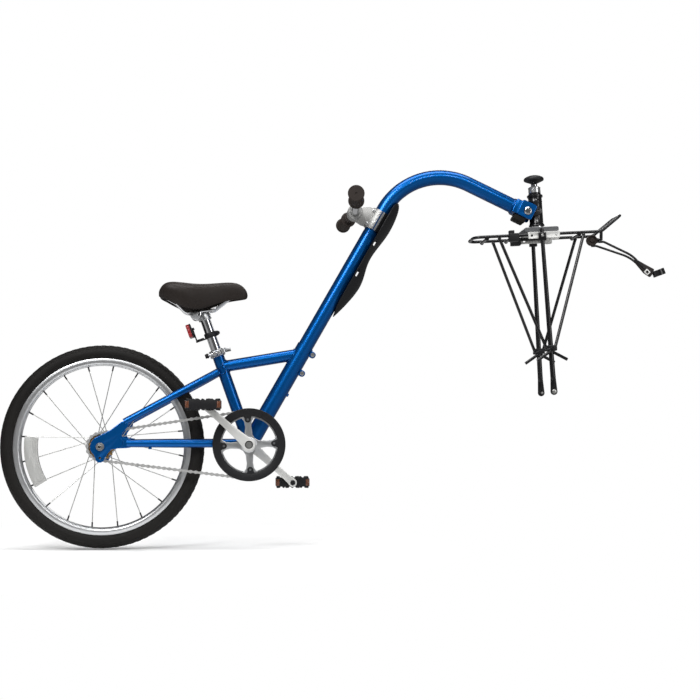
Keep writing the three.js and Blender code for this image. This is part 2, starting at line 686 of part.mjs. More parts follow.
function buildClampBody() {
  const barrel = crossBar(bar.along, bar.offset, -barClamp.barrelHalf, barClamp.barrelHalf,
    bar.radius + gap + barClamp.barrelWall, roundSides);
  const neck = block(
    point(clampStart, -barClamp.neckHalf, 0), point(clampEnd - barClamp.barrelWall, barClamp.neckHalf, bar.offset));
  const front = block(
    point(clampStart - overrun, -bar.halfLength, -bar.halfLength),
    point(clampEnd + overrun, bar.halfLength, barClamp.split / 2));
  return cut(
    join(tubeAlong(clampStart, clampEnd, clampRadius), neck, barrel),
    tubeAlong(clampStart - overrun, clampEnd + overrun, tow.radius + gap),
    crossBar(bar.along, bar.offset, -bar.halfLength, bar.halfLength, bar.radius + gap, roundSides),
    front);
}

function buildClampBand() {
  const rear = block(
    point(clampStart - overrun, -bar.halfLength, -barClamp.split / 2),
    point(clampEnd + overrun, bar.halfLength, bar.halfLength));
  const seat = guardOffset((barClamp.middle - guardPlate.bottom) / guardPlate.length) - guardPlate.thickness - 3 * gap;
  const boss = rod(
    point(barClamp.middle, 0, -tow.radius - barClamp.wall), point(barClamp.middle, 0, -seat), barClamp.bossRadius,
    roundSides);
  return cut(
    join(tubeAlong(clampStart, clampEnd, clampRadius), boss),
    tubeAlong(clampStart - overrun, clampEnd + overrun, tow.radius + gap),
    rear);
}

// The spray guard's outline: shares of its length, its depth in front of the tube and its half width
const guardShares = [
  [0, 0.53, 0.1], [0.08, 0.71, 0.42], [0.17, 0.87, 0.7], [0.277, 1, 0.86], [0.357, 0.94, 0.84],
  [0.43, 0.8, 0.72], [0.485, 0.71, 0.64], [0.563, 0.69, 0.7], [0.69, 0.84, 0.93], [0.777, 0.9, 1],
  [0.87, 0.85, 0.9], [0.95, 0.77, 0.58], [1, 0.73, 0.16],
];

function guardOffset(share) {
  const after = guardShares.findIndex(([place]) => place >= share);
  const [highPlace, high] = guardShares[after];
  const [lowPlace, low] = guardShares[Math.max(after - 1, 0)];
  const blend = highPlace === lowPlace ? 0 : (share - lowPlace) / (highPlace - lowPlace);
  return guardPlate.deepest * (low + (high - low) * blend);
}

// A plate of even thickness over a grid of stations and places across.
function buildGuardPlate() {
  const across = 8;
  const rows = guardShares.map(([place, depth, width]) => {
    const row = [];
    for (let k = 0; k <= across; k += 1) {
      const side = (2 * k) / across - 1;
      const middle = guardPlate.deepest * depth;
      const clear = tow.radius + guardPlate.thickness + guardPlate.clearance;
      const reach = guardPlate.widest * width;
      const beside = Math.sqrt(Math.max(clear * clear - reach * reach, 0));
      const edge = Math.min(Math.max(guardPlate.edgeOffset, beside), middle);
      row.push(point(
        guardPlate.bottom + guardPlate.length * place,
        guardPlate.widest * width * side,
        -(edge + (middle - edge) * (1 - side * side))));
    }
    return row;
  });
  return shellOf(rows, point(0, 0, guardPlate.thickness));
}

// The closed shell between a grid of points and the same grid moved by the thickness.
function shellOf(rows, shift) {
  const across = rows[0].length;
  const places = [];
  for (const step of [point(0, 0, 0), shift]) {
    for (const row of rows) for (const corner of row) places.push(...corner.clone().add(step).toArray());
  }
  const layer = rows.length * across;
  const faces = [];
  const quad = (a, b, c, d) => faces.push(a, b, c, a, c, d);
  for (let i = 0; i < rows.length - 1; i += 1) {
    for (let k = 0; k < across - 1; k += 1) {
      const a = i * across + k;
      quad(a, a + across, a + across + 1, a + 1);
      quad(a + layer, a + 1 + layer, a + across + 1 + layer, a + across + layer);
    }
  }
  const rim = [];
  for (let k = 0; k < across - 1; k += 1) rim.push(k);
  for (let i = 0; i < rows.length - 1; i += 1) rim.push(i * across + across - 1);
  for (let k = across - 1; k > 0; k -= 1) rim.push((rows.length - 1) * across + k);
  for (let i = rows.length - 1; i > 0; i -= 1) rim.push(i * across);
  rim.forEach((here, index) => {
    const next = rim[(index + 1) % rim.length];
    quad(here, next, next + layer, here + layer);
  });
  const geometry = new THREE.BufferGeometry();
  geometry.setAttribute('position', new THREE.Float32BufferAttribute(places, 3));
  geometry.setIndex(faces);
  return geometry;
}

add(tubeFrame, 'bar_clamp_body', buildClampBody(), silver);
add(tubeFrame, 'bar_clamp_band', buildClampBand(), blackPlastic);
add(tubeFrame, 'spray_guard', buildGuardPlate(), blackPlastic);

// The handlebar and its grips, level in the clamp's barrel
const barPlace = tubeFrame.localToWorld(point(bar.along, 0, bar.offset));
const barFrame = group(trailerBike, barPlace);
const barCorner = (side) => point(-bar.rise / 2, side * bar.riseY, bar.rise);
const barEnd = (side) => point(-bar.sweep, side * bar.halfLength, bar.rise);

function buildBar() {
  return sweep(rounded([
    barEnd(-1), barCorner(-1), point(0, -bar.centreHalf, 0), point(0, bar.centreHalf, 0), barCorner(1), barEnd(1),
  ], bar.riseY / 3), bar.radius, bar.sides);
}

function buildGrip(side) {
  const along = barEnd(side).sub(barCorner(side)).normalize();
  const inner = barCorner(side).addScaledVector(along, grip.innerY - bar.riseY);
  const end = barEnd(side).addScaledVector(along, gap);
  const outer = end.clone().addScaledVector(along, grip.endWall);
  const flange = (place, way) => rod(place, place.clone().addScaledVector(along, way * grip.flangeWidth),
    grip.flangeRadius, bar.sides);
  const hollow = rod(inner.clone().addScaledVector(along, -overrun), end, around(bar.radius, bar.sides), bar.sides);
  return cut(join(rod(inner, outer, grip.radius, bar.sides), flange(inner, 1), flange(outer, -1)), hollow);
}

add(barFrame, 'handlebar', buildBar(), chrome);
for (const [name, side] of both) add(barFrame, `grip_${name}`, buildGrip(side), blackRubber);

// The frame's tubes, from the bottom bracket
const seatFrame = group(bike, point(0, 0, 0), -seatTube.lean);
const alongSeat = point(-Math.sin(seatTube.lean), 0, Math.cos(seatTube.lean));
const seatPoint = (along) => alongSeat.clone().multiplyScalar(along);
const tubePoint = (along) => alongTow.clone().multiplyScalar(along);
const axleX = -wheelBack;
const axleZ = -wheelDrop;

function buildDownTube() {
  const ears = [ear.upper, ear.lower].map((along) => {
    const outline = linkShape(along, -ear.offset, along, -sleeveTube.bore, ear.radius, ear.radius);
    return plate(outline, -ear.halfWidth, ear.halfWidth);
  });
  const boss = rod(
    point(cableBoss.along, 0, -sleeveTube.bore), point(cableBoss.along, 0, -sleeveTube.radius - cableBoss.rise),
    cableBoss.radius);
  const slit = block(
    point(sleeveTube.top - sleeveTube.slitLength, -sleeveTube.slit / 2, -ear.offset - ear.radius - overrun),
    point(sleeveTube.top + overrun, sleeveTube.slit / 2, 0));
  const screws = [ear.upper, ear.lower].map((along) => crossBar(
    along, -ear.offset, -ear.halfWidth - overrun, ear.halfWidth + overrun, ear.boltRadius + gap, roundSides));
  const whole = join(
    tubeAlong(sleeveTube.start, sleeveTube.top, sleeveTube.radius), ...ears, boss,
    crossBar(0, 0, -shell.halfWidth, shell.halfWidth, shell.radius, shell.sides));
  return cut(
    whole,
    tubeAlong(sleeveTube.boreStart, sleeveTube.top + overrun, sleeveTube.bore),
    crossBar(0, 0, -shell.halfWidth - overrun, shell.halfWidth + overrun, spindle.radius + gap, roundSides),
    slit, ...screws);
}

function buildPinchBolt(along) {
  const face = ear.halfWidth + gap;
  return join(
    crossBar(along, -ear.offset, -face - ear.head, face + ear.head, ear.boltRadius),
    ...both.map(([, side]) => crossBar(
      along, -ear.offset, side * face, side * (face + ear.head), ear.headRadius, 6)));
}

// Solid bars that stand for the neighbours a tube's end is shaped to.
const seatTubeBar = () => rod(seatPoint(0), seatPoint(seatTube.top), around(seatTube.radius, tubeSides), tubeSides);
const downTubeBar = () => rod(
  tubePoint(0), tubePoint(sleeveTube.top), around(sleeveTube.radius, roundSides), roundSides);
const shellBar = () => crossBar(
  0, 0, -shell.halfWidth - gap, shell.halfWidth + gap, around(shell.radius, shell.sides), shell.sides);

function buildSeatTube() {
  return cut(
    rod(seatPoint(0), seatPoint(seatTube.top), seatTube.radius, tubeSides),
    shellBar(), downTubeBar(),
    rod(seatPoint(seatTube.top - seatTube.boreDepth), seatPoint(seatTube.top + overrun), seatTube.bore, tubeSides));
}

function buildTopTube() {
  return cut(
    rod(seatPoint(topTube.rearAlong), tubePoint(topTube.frontAlong), topTube.radius, tubeSides),
    seatTubeBar(), downTubeBar());
}

// The dropout's plate; extra grows it for cutting the seat stay.
function dropoutPlate(side, extra) {
  const half = dropout.thickness / 2 + extra;
  const near = side * dropout.y - half;
  const far = side * dropout.y + half;
  const arm = (x, z, radius) => plate(
    linkShape(axleX, axleZ, axleX + x, axleZ + z, dropout.radius + extra, radius + extra), near, far);
  const chainArm = arm(dropout.chainReach, dropout.chainRise, dropout.chainRadius);
  const seatArm = arm(dropout.seatReachX, dropout.seatReachZ, dropout.seatRadius);
  const tab = plate(
    linkShape(axleX, axleZ, axleX + dropout.tabX, axleZ - dropout.tabDrop, dropout.tabRadius, dropout.tabRadius),
    near, far);
  return join(chainArm, seatArm, tab);
}

function chainStayRod(side, extra = 0) {
  const z = chainStay.height;
  return sweep(rounded([
    point(chainStay.frontX, side * chainStay.frontY, z),
    point(chainStay.crimpX, side * chainStay.crimpY, z),
    point(chainStay.rearX, side * chainStay.rearY, z),
    point(chainStay.tipX, side * dropout.y, z),
  ], chainStay.radius * 3, 2), chainStay.radius + extra, 12);
}

function seatStayRod(side) {
  return sweep(rounded([
    point(seatStay.tipX, side * dropout.y, seatStay.tipZ),
    point(seatStay.bendX, side * seatStay.bendY, seatStay.bendZ),
    point(seatStay.endX, side * seatStay.endY, seatStay.endZ),
  ], seatStay.radius * 2, 2), seatStay.radius, 12);
}

const axleHole = () => crossBar(
  axleX, axleZ, -dropout.y * 2, dropout.y * 2, axle.radius + gap, roundSides);

function buildChainStay(side) {
  const tabHole = crossBar(
    axleX + dropout.tabX, axleZ - dropout.tabDrop, -dropout.y * 2, dropout.y * 2, dropout.tabHole, rodSides);
  const stayRod = cut(chainStayRod(side), seatTubeBar(), shellBar(), downTubeBar(), middleCut(side));
  return cut(join(stayRod, dropoutPlate(side, 0)), axleHole(), tabHole);
}

// What lies past the frame's middle plane, so that a pair of stays never meets.
function middleCut(side) {
  return block(
    point(-wheelBack * 2, 0, -wheelBack), point(wheelBack, -side * wheelBack, wheelBack));
}

function buildSeatStay(side) {
  return cut(seatStayRod(side), seatTubeBar(), dropoutPlate(side, gap), middleCut(side));
}

add(tubeFrame, 'down_tube', buildDownTube(), bluePaint);
add(tubeFrame, 'pinch_bolt_upper', buildPinchBolt(ear.upper), silver);
add(tubeFrame, 'pinch_bolt_lower', buildPinchBolt(ear.lower), silver);
add(bike, 'seat_tube', buildSeatTube(), bluePaint);
add(bike, 'top_tube', buildTopTube(), bluePaint);
for (const [name, side] of both) {
  add(bike, `chainstay_${name}`, buildChainStay(side), bluePaint);
  add(bike, `seatstay_${name}`, buildSeatStay(side), bluePaint);
}

// The seat, in a frame whose Z axis runs up the seat tube
const straight = (fromZ, toZ, radius, sides = tubeSides) => rod(point(0, 0, fromZ), point(0, 0, toZ), radius, sides);

function buildSeatPost() {
  return straight(seatPost.bottom, seatPost.top, seatPost.radius, 16);
}

function buildCollar() {
  const low = collar.middle - collar.height / 2;
  const high = collar.middle + collar.height / 2;
  const ears = block(
    point(-collar.earHalf, -collar.earOuter, low + overrun / 2),
    point(collar.earHalf, -collar.earInner, high - overrun / 2));
  const slit = block(
    point(-collar.slit / 2, -collar.earOuter - overrun, low - overrun), point(collar.slit / 2, 0, high + overrun));
  const skewerRod = rod(
    point(-collar.earHalf, -skewer.y, collar.middle), point(collar.earHalf, -skewer.y, collar.middle),
    skewer.radius);
  const nut = rod(
    point(-collar.earHalf - skewer.nutLength, -skewer.y, collar.middle),
    point(-collar.earHalf, -skewer.y, collar.middle), skewer.nutRadius, 12);
  const body = cut(
    join(straight(low, high, collar.radius), ears),
    straight(low - overrun, seatTube.top + gap, seatTube.radius + gap),
    straight(low, high + overrun, seatPost.radius + gap),
    slit);
  return join(body, skewerRod, nut);
}

const leverPlace = point(collar.earHalf + lever.camRadius + gap, -skewer.y, collar.middle);

function buildLever() {
  const cam = new THREE.CylinderGeometry(lever.camRadius, lever.camRadius, lever.camHeight, 16)
    .rotateX(Math.PI / 2);
  const handle = block(
    point(0, -lever.thickness / 2, -lever.width / 2),
    point(lever.length, lever.thickness / 2, lever.width / 2)).rotateZ(lever.turn);
  return join(cam, handle);
}

function buildLampBracket() {
  const low = lampClamp.along - lampClamp.height / 2;
  const high = lampClamp.along + lampClamp.height / 2;
  const outer = seatPost.radius + gap + lampClamp.wall;
  const back = -lampClamp.back;
  const arm = block(
    point(back, -lampClamp.strapHalf, low), point(-seatPost.radius - gap, lampClamp.strapHalf, low + lampClamp.strap));
  const upright = block(
    point(back, -lampClamp.strapHalf, low),
    point(back + lampClamp.strap, lampClamp.strapHalf, lampClamp.along + reflector.middleRise + lampClamp.strapHalf));
  const screw = rod(
    point(seatPost.radius + gap, 0, lampClamp.along), point(outer + lampClamp.boltReach, 0, lampClamp.along),
    lampClamp.boltRadius);
  return cut(
    join(straight(low, high, outer), arm, upright, screw),
    straight(low - overrun, high + overrun, seatPost.radius + gap));
}

function buildReflector() {
  const middle = lampClamp.along + reflector.middleRise;
  const front = -lampClamp.back - gap;
  return new THREE.ExtrudeGeometry(
    softRectangle(
      -reflector.halfWidth, -reflector.height / 2, reflector.halfWidth, reflector.height / 2,
      reflector.cornerRadius),
    { depth: reflector.thickness, bevelEnabled: false, curveSegments: 4 })
    .rotateX(Math.PI / 2).rotateZ(Math.PI / 2).translate(front - reflector.thickness, 0, middle);
}

const saddlePlace = point(-saddleClamp.back, 0, saddleClamp.along);

function buildSaddleClamp() {
  const bandLow = seatPost.top - saddleClamp.bandHeight;
  const outer = seatPost.radius + gap + saddleClamp.bandWall;
  const lugPiece = crossBar(
    saddlePlace.x, saddlePlace.z, -saddleClamp.lugHalf, saddleClamp.lugHalf, saddleClamp.lugRadius, 14);
  const screwEnd = saddleClamp.discOuter + gap + saddleClamp.nutLength;
  const screw = crossBar(saddlePlace.x, saddlePlace.z, -screwEnd, screwEnd, saddleClamp.boltRadius, 12);
  const nuts = both.map(([, side]) => crossBar(
    saddlePlace.x, saddlePlace.z, side * (saddleClamp.discOuter + gap), side * screwEnd, saddleClamp.nutRadius, 6));
  return cut(
    join(straight(bandLow, seatPost.top, outer), lugPiece, screw, ...nuts),
    straight(bandLow - overrun, seatPost.top + gap, seatPost.radius + gap));
}

// The saddle stands level, in a frame on its clamp's bolt
const saddleFrame = group(bike, seatFrame.localToWorld(saddlePlace.clone()).sub(bike.position));


function railKnots(side) {
  return rounded([
    point(railPath.rearX, side * rail.rearY, railPath.rearZ),
    point(railPath.sitX, side * rail.y, railPath.sitZ),
    point(railPath.frontX, side * rail.y, railPath.frontZ),
    point(railPath.noseX, side * rail.noseY, railPath.noseZ),
    point(railPath.noseX, -side * rail.radius, railPath.noseZ),
  ], rail.noseY / 2, 2);
}

function buildRails() {
  const discs = both.map(([, side]) => crossBar(
    0, 0, side * saddleClamp.discInner, side * saddleClamp.discOuter, saddleClamp.discRadius, 16));
  const bore = crossBar(
    0, 0, -saddleClamp.discOuter - overrun, saddleClamp.discOuter + overrun, saddleClamp.boltRadius + gap, 12);
  return cut(join(sweep(railKnots(-1), rail.radius), sweep(railKnots(1), rail.radius), ...discs), bore);
}

// The saddle's sections: shares of its length, then of its height for the crown and the skirt's edge,
// of its half width, and of the section's own height for the hollow underneath
const coverShares = [
  [0, 0.62, 0.42, 0.5, 0.3], [0.03, 0.8, 0.34, 0.72, 0.4], [0.067, 0.94, 0.25, 0.86, 0.6],
  [0.13, 1, 0.16, 0.96, 0.74], [0.228, 0.985, 0.06, 1, 0.78], [0.344, 0.944, 0.004, 0.93, 0.8],
  [0.446, 0.92, 0, 0.76, 0.8], [0.553, 0.93, 0.11, 0.56, 0.76], [0.669, 0.96, 0.266, 0.4, 0.66],
  [0.785, 0.986, 0.367, 0.31, 0.5], [0.878, 0.93, 0.4, 0.27, 0.35], [0.947, 0.774, 0.435, 0.22, 0.3],
  [1, 0.6, 0.475, 0.13, 0.25],
];
const crownShares = [[0.86, 0], [0.95, 0.3], [1, 0.58], [0.96, 0.8], [0.8, 0.94], [0.45, 1]];
const hollowShares = [[0.76, 0], [0.78, 0.7], [0.5, 0.95]];

function coverSection([place, crown, skirt, width, hollow]) {
  const x = cover.rearX + cover.length * place;
  const low = cover.base + cover.height * skirt;
  const rise = cover.height * (crown - skirt);
  const half = cover.halfWidth * width;
  const right = crownShares.map(([y, z]) => point(x, -half * y, low + rise * z));
  const left = crownShares.map(([y, z]) => point(x, half * y, low + rise * z)).reverse();
  const innerLeft = hollowShares.map(([y, z]) => point(x, half * y, low + rise * hollow * z));
  const innerRight = hollowShares.map(([y, z]) => point(x, -half * y, low + rise * hollow * z)).reverse();
  return [
    ...right, point(x, 0, low + rise), ...left,
    ...innerLeft, point(x, 0, low + rise * hollow), ...innerRight,
  ];
}

// A skin over sections of equally many points, closed at both ends.
function loft(sections) {
  const count = sections[0].length;
  const faces = [];
  for (let i = 0; i < sections.length - 1; i += 1) {
    for (let k = 0; k < count; k += 1) {
      const a = i * count + k;
      const b = i * count + ((k + 1) % count);
      faces.push(a, a + count, b + count, a, b + count, b);
    }
  }
  for (const [section, first] of [[sections[0], 0], [sections[sections.length - 1], faces.length]]) {
    const outline = section.map((corner) => new THREE.Vector2(corner.y, corner.z));
    const base = first === 0 ? 0 : (sections.length - 1) * count;
    for (const corners of THREE.ShapeUtils.triangulateShape(outline, [])) {
      const sameWay = THREE.ShapeUtils.area(corners.map((k) => outline[k])) * THREE.ShapeUtils.area(outline) > 0;
      const [p, q, r] = corners.map((k) => base + k);
      faces.push(...(sameWay === (first === 0) ? [p, q, r] : [r, q, p]));
    }
  }
  const geometry = new THREE.BufferGeometry();
  geometry.setAttribute('position', new THREE.Float32BufferAttribute(
    sections.flat().flatMap((corner) => corner.toArray()), 3));
  geometry.setIndex(faces);
  return geometry;
}

function buildCover() {
  return cut(
    loft(coverShares.map(coverSection)),
    sweep(railKnots(-1), rail.radius + gap), sweep(railKnots(1), rail.radius + gap));
}

add(seatFrame, 'seatpost', buildSeatPost(), chrome);
add(seatFrame, 'seat_collar', buildCollar(), blackSteel);
const leverMesh = add(seatFrame, 'qr_lever', buildLever(), silver);
leverMesh.position.copy(leverPlace);
add(seatFrame, 'reflector_bracket', buildLampBracket(), blackPlastic);
add(seatFrame, 'rear_reflector', buildReflector(), redLens);
add(seatFrame, 'saddle_clamp', buildSaddleClamp(), silver);
add(saddleFrame, 'saddle_rails', buildRails(), chrome);
add(saddleFrame, 'saddle_cover', buildCover(), vinyl);

// The rear wheel, in a frame on its axle
const wheelFrame = group(bike, point(axleX, 0, axleZ));
const acrossY = (geometry) => geometry.rotateX(Math.PI / 2);
const beadRadius = tyre.radius - tyre.depth;
const rimInner = beadRadius - rim.depth;

function buildTyre() {
  const middle = tyre.radius - tyre.halfWidth * tyre.crownShare;
  const rise = tyre.radius - middle;
  const steps = 5;
  const arc = (radiusY, radiusZ, k) => {
    const angle = Math.PI * (tyre.sideShare * (k / steps - 0.5) + 0.5);
    return [middle + radiusZ * Math.sin(angle), radiusY * Math.cos(angle)];
  };
  const outer = Array.from({ length: steps + 1 }, (_, k) => arc(tyre.halfWidth, rise, k));
  const inner = Array.from({ length: steps + 1 }, (_, k) => arc(
    tyre.halfWidth - tyre.wall, rise - tyre.wall, steps - k));
  const bead = (y) => [beadRadius, y];
  return acrossY(turned([
    bead(tyre.beadY), ...outer, bead(-tyre.beadY), bead(tyre.wall - tyre.beadY), ...inner,
    bead(tyre.beadY - tyre.wall), bead(tyre.beadY),
  ], wheelSides));
}

function buildRim() {
  const outer = beadRadius - gap;
  const side = rim.halfWidth;
  const bed = outer - rim.wall;
  return acrossY(turned([
    [rimInner, -side / 2], [bed, -side], [outer, -side], [outer, -rim.beadInset + rim.wall],
    [bed, -rim.beadInset + 2 * rim.wall], [bed, rim.beadInset - 2 * rim.wall],
    [outer, rim.beadInset - rim.wall], [outer, side], [bed, side], [rimInner, side / 2],
    [rimInner, -side / 2],
  ], wheelSides));
}

const rimFlat = rimInner * Math.cos(Math.PI / wheelSides);

// A spoke's two ends: in its flange, and at the rim a lead further round.
function spokeEnds(index) {
  const rimAngle = (2 * Math.PI * index) / spoke.count + spoke.start;
  const side = index % 2 === 0 ? -1 : 1;
  const flangeY = side < 0 ? -hub.rightFlange : hub.leftFlange;
  const lean = Math.floor(index / 2) % 2 === 0 ? spoke.lead : -spoke.lead;
  const at = (angle, radius, y) => point(radius * Math.cos(angle), y, radius * Math.sin(angle));
  return [at(rimAngle + lean, spoke.hubRadius, flangeY), at(rimAngle, rimFlat - 2 * gap, 0)];
}

function spokeRod(index, extra = 0) {
  const [inner, outer] = spokeEnds(index);
  return rod(inner, outer, spoke.radius + extra, spoke.sides);
}

function buildHub() {
  const flange = (y) => crossBar(0, 0, y - hub.flangeThickness / 2, y + hub.flangeThickness / 2,
    hub.flangeRadius, roundSides);
  const spokes = [];
  for (let index = 0; index < spoke.count; index += 1) {
    spokes.push(spokeRod(index));
  }
  return cut(
    join(crossBar(0, 0, -hub.end, hub.end, hub.barrel, roundSides), flange(-hub.rightFlange), flange(hub.leftFlange),
      ...spokes),
    crossBar(0, 0, -hub.end - overrun, hub.end + overrun, axle.radius + gap, roundSides));
}

function buildAxle() {
  const face = dropout.y + dropout.thickness / 2 + gap;
  const end = face + axle.nutThickness + axle.tipLength;
  return join(
    crossBar(0, 0, -end, end, axle.radius, roundSides),
    ...both.map(([, side]) => crossBar(0, 0, side * face, side * (face + axle.nutThickness), axle.nutRadius, 6)));
}

function buildSpokeReflector() {
  const steps = 6;
  const outerRadius = rimInner - spokeReflector.inset;
  const innerRadius = outerRadius - spokeReflector.depth;
  const edge = (radius, k) => {
    const angle = spokeReflector.angle + spokeReflector.halfSpan * ((2 * k) / steps - 1);
    return new THREE.Vector2(radius * Math.cos(angle), radius * Math.sin(angle));
  };
  const outline = [
    ...Array.from({ length: steps + 1 }, (_, k) => edge(innerRadius, k)),
    ...Array.from({ length: steps + 1 }, (_, k) => edge(outerRadius, steps - k)),
  ];
  const body = plate(outline, -spokeReflector.halfThickness, spokeReflector.halfThickness);
  const crossed = Array.from({ length: spoke.count }, (_, index) => spokeRod(index, gap));
  return cut(body, ...crossed);
}

// Toothed wheels on the chain's line
const pitchRadius = (teeth) => chainPitch / (2 * Math.sin(Math.PI / teeth));

function toothedShape(teeth, turn) {
  const radius = pitchRadius(teeth);
  const step = (2 * Math.PI) / teeth;
  const root = radius - tooth.root;
  const tip = radius + tooth.rise;
  const corners = [];
  for (let k = 0; k < teeth; k += 1) {
    const middle = turn + step * (k + 0.5);
    for (const [reach, share] of [[root, -tooth.rootShare], [tip, 0]]) {
      corners.push(new THREE.Vector2(reach * Math.cos(middle + share * step), reach * Math.sin(middle + share * step)));
    }
  }
  return new THREE.Shape(corners);
}

function toothedPlate(teeth, turn, thickness) {
  return plate(toothedShape(teeth, turn), -chainLine - thickness / 2, -chainLine + thickness / 2);
}

function buildCog() {
  const inner = -chainLine + ring.thickness / 2 + cog.hubLength;
  return cut(
    join(
      toothedPlate(cogTeeth, 0, ring.thickness),
      crossBar(0, 0, -chainLine, inner - cog.hubLength / 2, cog.hubRadius, roundSides)),
    crossBar(0, 0, -chainLine * 2, 0, axle.radius + gap, roundSides));
}

add(wheelFrame, 'tyre', buildTyre(), blackRubber);
add(wheelFrame, 'rim', buildRim(), silver);
add(wheelFrame, 'hub_and_spokes', buildHub(), silver);
add(wheelFrame, 'axle', buildAxle(), silver);
add(wheelFrame, 'spoke_reflector', buildSpokeReflector(), clearLens);
add(wheelFrame, 'cog', buildCog(), bronze);

// The chain's loop round both toothed wheels
function loopShape(extra) {
  const big = pitchRadius(ringTeeth) + extra;
  const small = pitchRadius(cogTeeth) + extra;
  const heading = Math.atan2(-axleZ, -axleX);
  const tilt = Math.acos((big - small) / Math.hypot(axleX, axleZ));
  const corners = [];
  const arc = (x, z, radius, from, to, steps) => {
    for (let k = 0; k <= steps; k += 1) {
      const angle = from + ((to - from) * k) / steps;
      corners.push(new THREE.Vector2(x + radius * Math.cos(angle), z + radius * Math.sin(angle)));
    }
  };
  const away = heading + Math.PI;
  arc(0, 0, big, away + tilt - 2 * Math.PI, away - tilt, chain.ringStations);
  arc(axleX, axleZ, small, away - tilt, away + tilt, chain.cogStations);
  return new THREE.Shape(corners);
}

function buildChain() {
  const near = -chainLine - chain.halfWidth;
  const far = -chainLine + chain.halfWidth;
  return cut(
    plate(loopShape(chain.halfHeight), near, far),
    plate(loopShape(-chain.halfHeight), near - overrun, far + overrun),
    plate(loopShape(chain.grooveRise), -chainLine - chain.groove, -chainLine + chain.groove));
}

add(bike, 'chain', buildChain(), chainSteel);

// The cranks turn in the bottom bracket shell
const crankAlong = (turn) => point(Math.cos(crank.angle + turn), 0, Math.sin(crank.angle + turn));
const crankTurn = (side) => (side < 0 ? 0 : Math.PI);

function buildChainring() {
  const half = ring.thickness / 2;
  const band = cut(
    toothedPlate(ringTeeth, 0, ring.thickness),
    crossBar(0, 0, -chainLine - half - overrun, -chainLine + half + overrun, ring.inner, 24));
  const arms = Array.from({ length: ring.arms }, (_, k) => {
    const angle = ring.armAngle + (2 * Math.PI * k) / ring.arms;
    const reach = ring.inner + ring.armWidth / 4;
    return plate(
      linkShape(0, 0, reach * Math.cos(angle), reach * Math.sin(angle), ring.armWidth / 2, ring.armWidth / 2),
      -chainLine - half, -chainLine + half);
  });
  const middle = crossBar(0, 0, -chainLine - ring.hubThickness, -chainLine + half, ring.hubRadius, roundSides);
  return cut(
    join(band, ...arms, middle),
    crossBar(0, 0, -chainLine * 2, 0, spindle.radius + gap, roundSides));
}

function buildChainGuard() {
  const outer = -guard.y - guard.thickness;
  const tabs = Array.from({ length: ring.arms }, (_, k) => {
    const angle = ring.armAngle + (2 * Math.PI * k) / ring.arms;
    const at = (reach) => [reach * Math.cos(angle), reach * Math.sin(angle)];
    return join(
      plate(linkShape(...at(guard.tabPlace), ...at(guard.inner + guard.tabRadius), guard.tabRadius, guard.tabRadius),
        outer, -guard.y),
      crossBar(...at(guard.tabPlace), outer, -chainLine - ring.thickness / 2 - gap, guard.studRadius, 10));
  });
  return join(crossRing(0, 0, outer, -guard.y, guard.outer, guard.inner, wheelSides), ...tabs);
}

function buildCrank(side) {
  const eye = crankAlong(crankTurn(side)).multiplyScalar(crank.length);
  const inner = side * crank.inner;
  const outer = side * (crank.inner + crank.thickness);
  const arm = plate(
    linkShape(0, 0, eye.x, eye.z, crank.bossRadius, crank.eyeRadius), inner, outer);
  const boss = crossBar(0, 0, inner - side * crank.bossReach, outer, crank.bossRadius, roundSides);
  const pin = crossBar(eye.x, eye.z, outer - side * gap, outer + side * crank.pinLength, crank.pinRadius, 10);
  return cut(
    join(arm, boss, pin),
    crossBar(0, 0, -spindle.halfLength - overrun * 2, spindle.halfLength + overrun * 2, spindle.radius + gap,
      roundSides));
}

function buildPedal(side) {
  const near = side * (crank.inner + crank.thickness + pedal.endWall);
  const far = near + side * pedal.width;
  const body = plate(
    softRectangle(-pedal.halfLength, -pedal.halfHeight, pedal.halfLength, pedal.halfHeight, pedal.corner),
    near, far);
  const windows = [-1, 1].map((way) => block(
    point(way * pedal.window / 2, near + side * pedal.window / 2, -pedal.halfHeight - overrun),
    point(way * (pedal.window / 2 + pedal.windowLength), far - side * pedal.window / 2,
      pedal.halfHeight + overrun)));
  return cut(body, ...windows, crossBar(0, 0, near - side * overrun, far + side * overrun,
    crank.pinRadius + gap, 10));
}

add(bike, 'crank_spindle', crossBar(0, 0, -spindle.halfLength, spindle.halfLength, spindle.radius, roundSides), silver);
add(bike, 'chainring', buildChainring(), silver);
add(bike, 'chain_guard', buildChainGuard(), blackPlastic);
for (const [name, side] of both) {
  add(bike, `crank_${name}`, buildCrank(side), silver);
  const pedalFrame = group(bike, crankAlong(crankTurn(side)).multiplyScalar(crank.length));
  add(pedalFrame, `pedal_${name}`, buildPedal(side), blackPlastic);
}

export default trailerBike;
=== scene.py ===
"""A child's trailer bike on its hitch rack, dressed over its mechanical frame."""
import json
import math

import bpy
from bpy.props import FloatProperty, FloatVectorProperty, IntProperty, PointerProperty
from bpy.types import Operator, Panel, PropertyGroup
from mathutils import Matrix, Vector


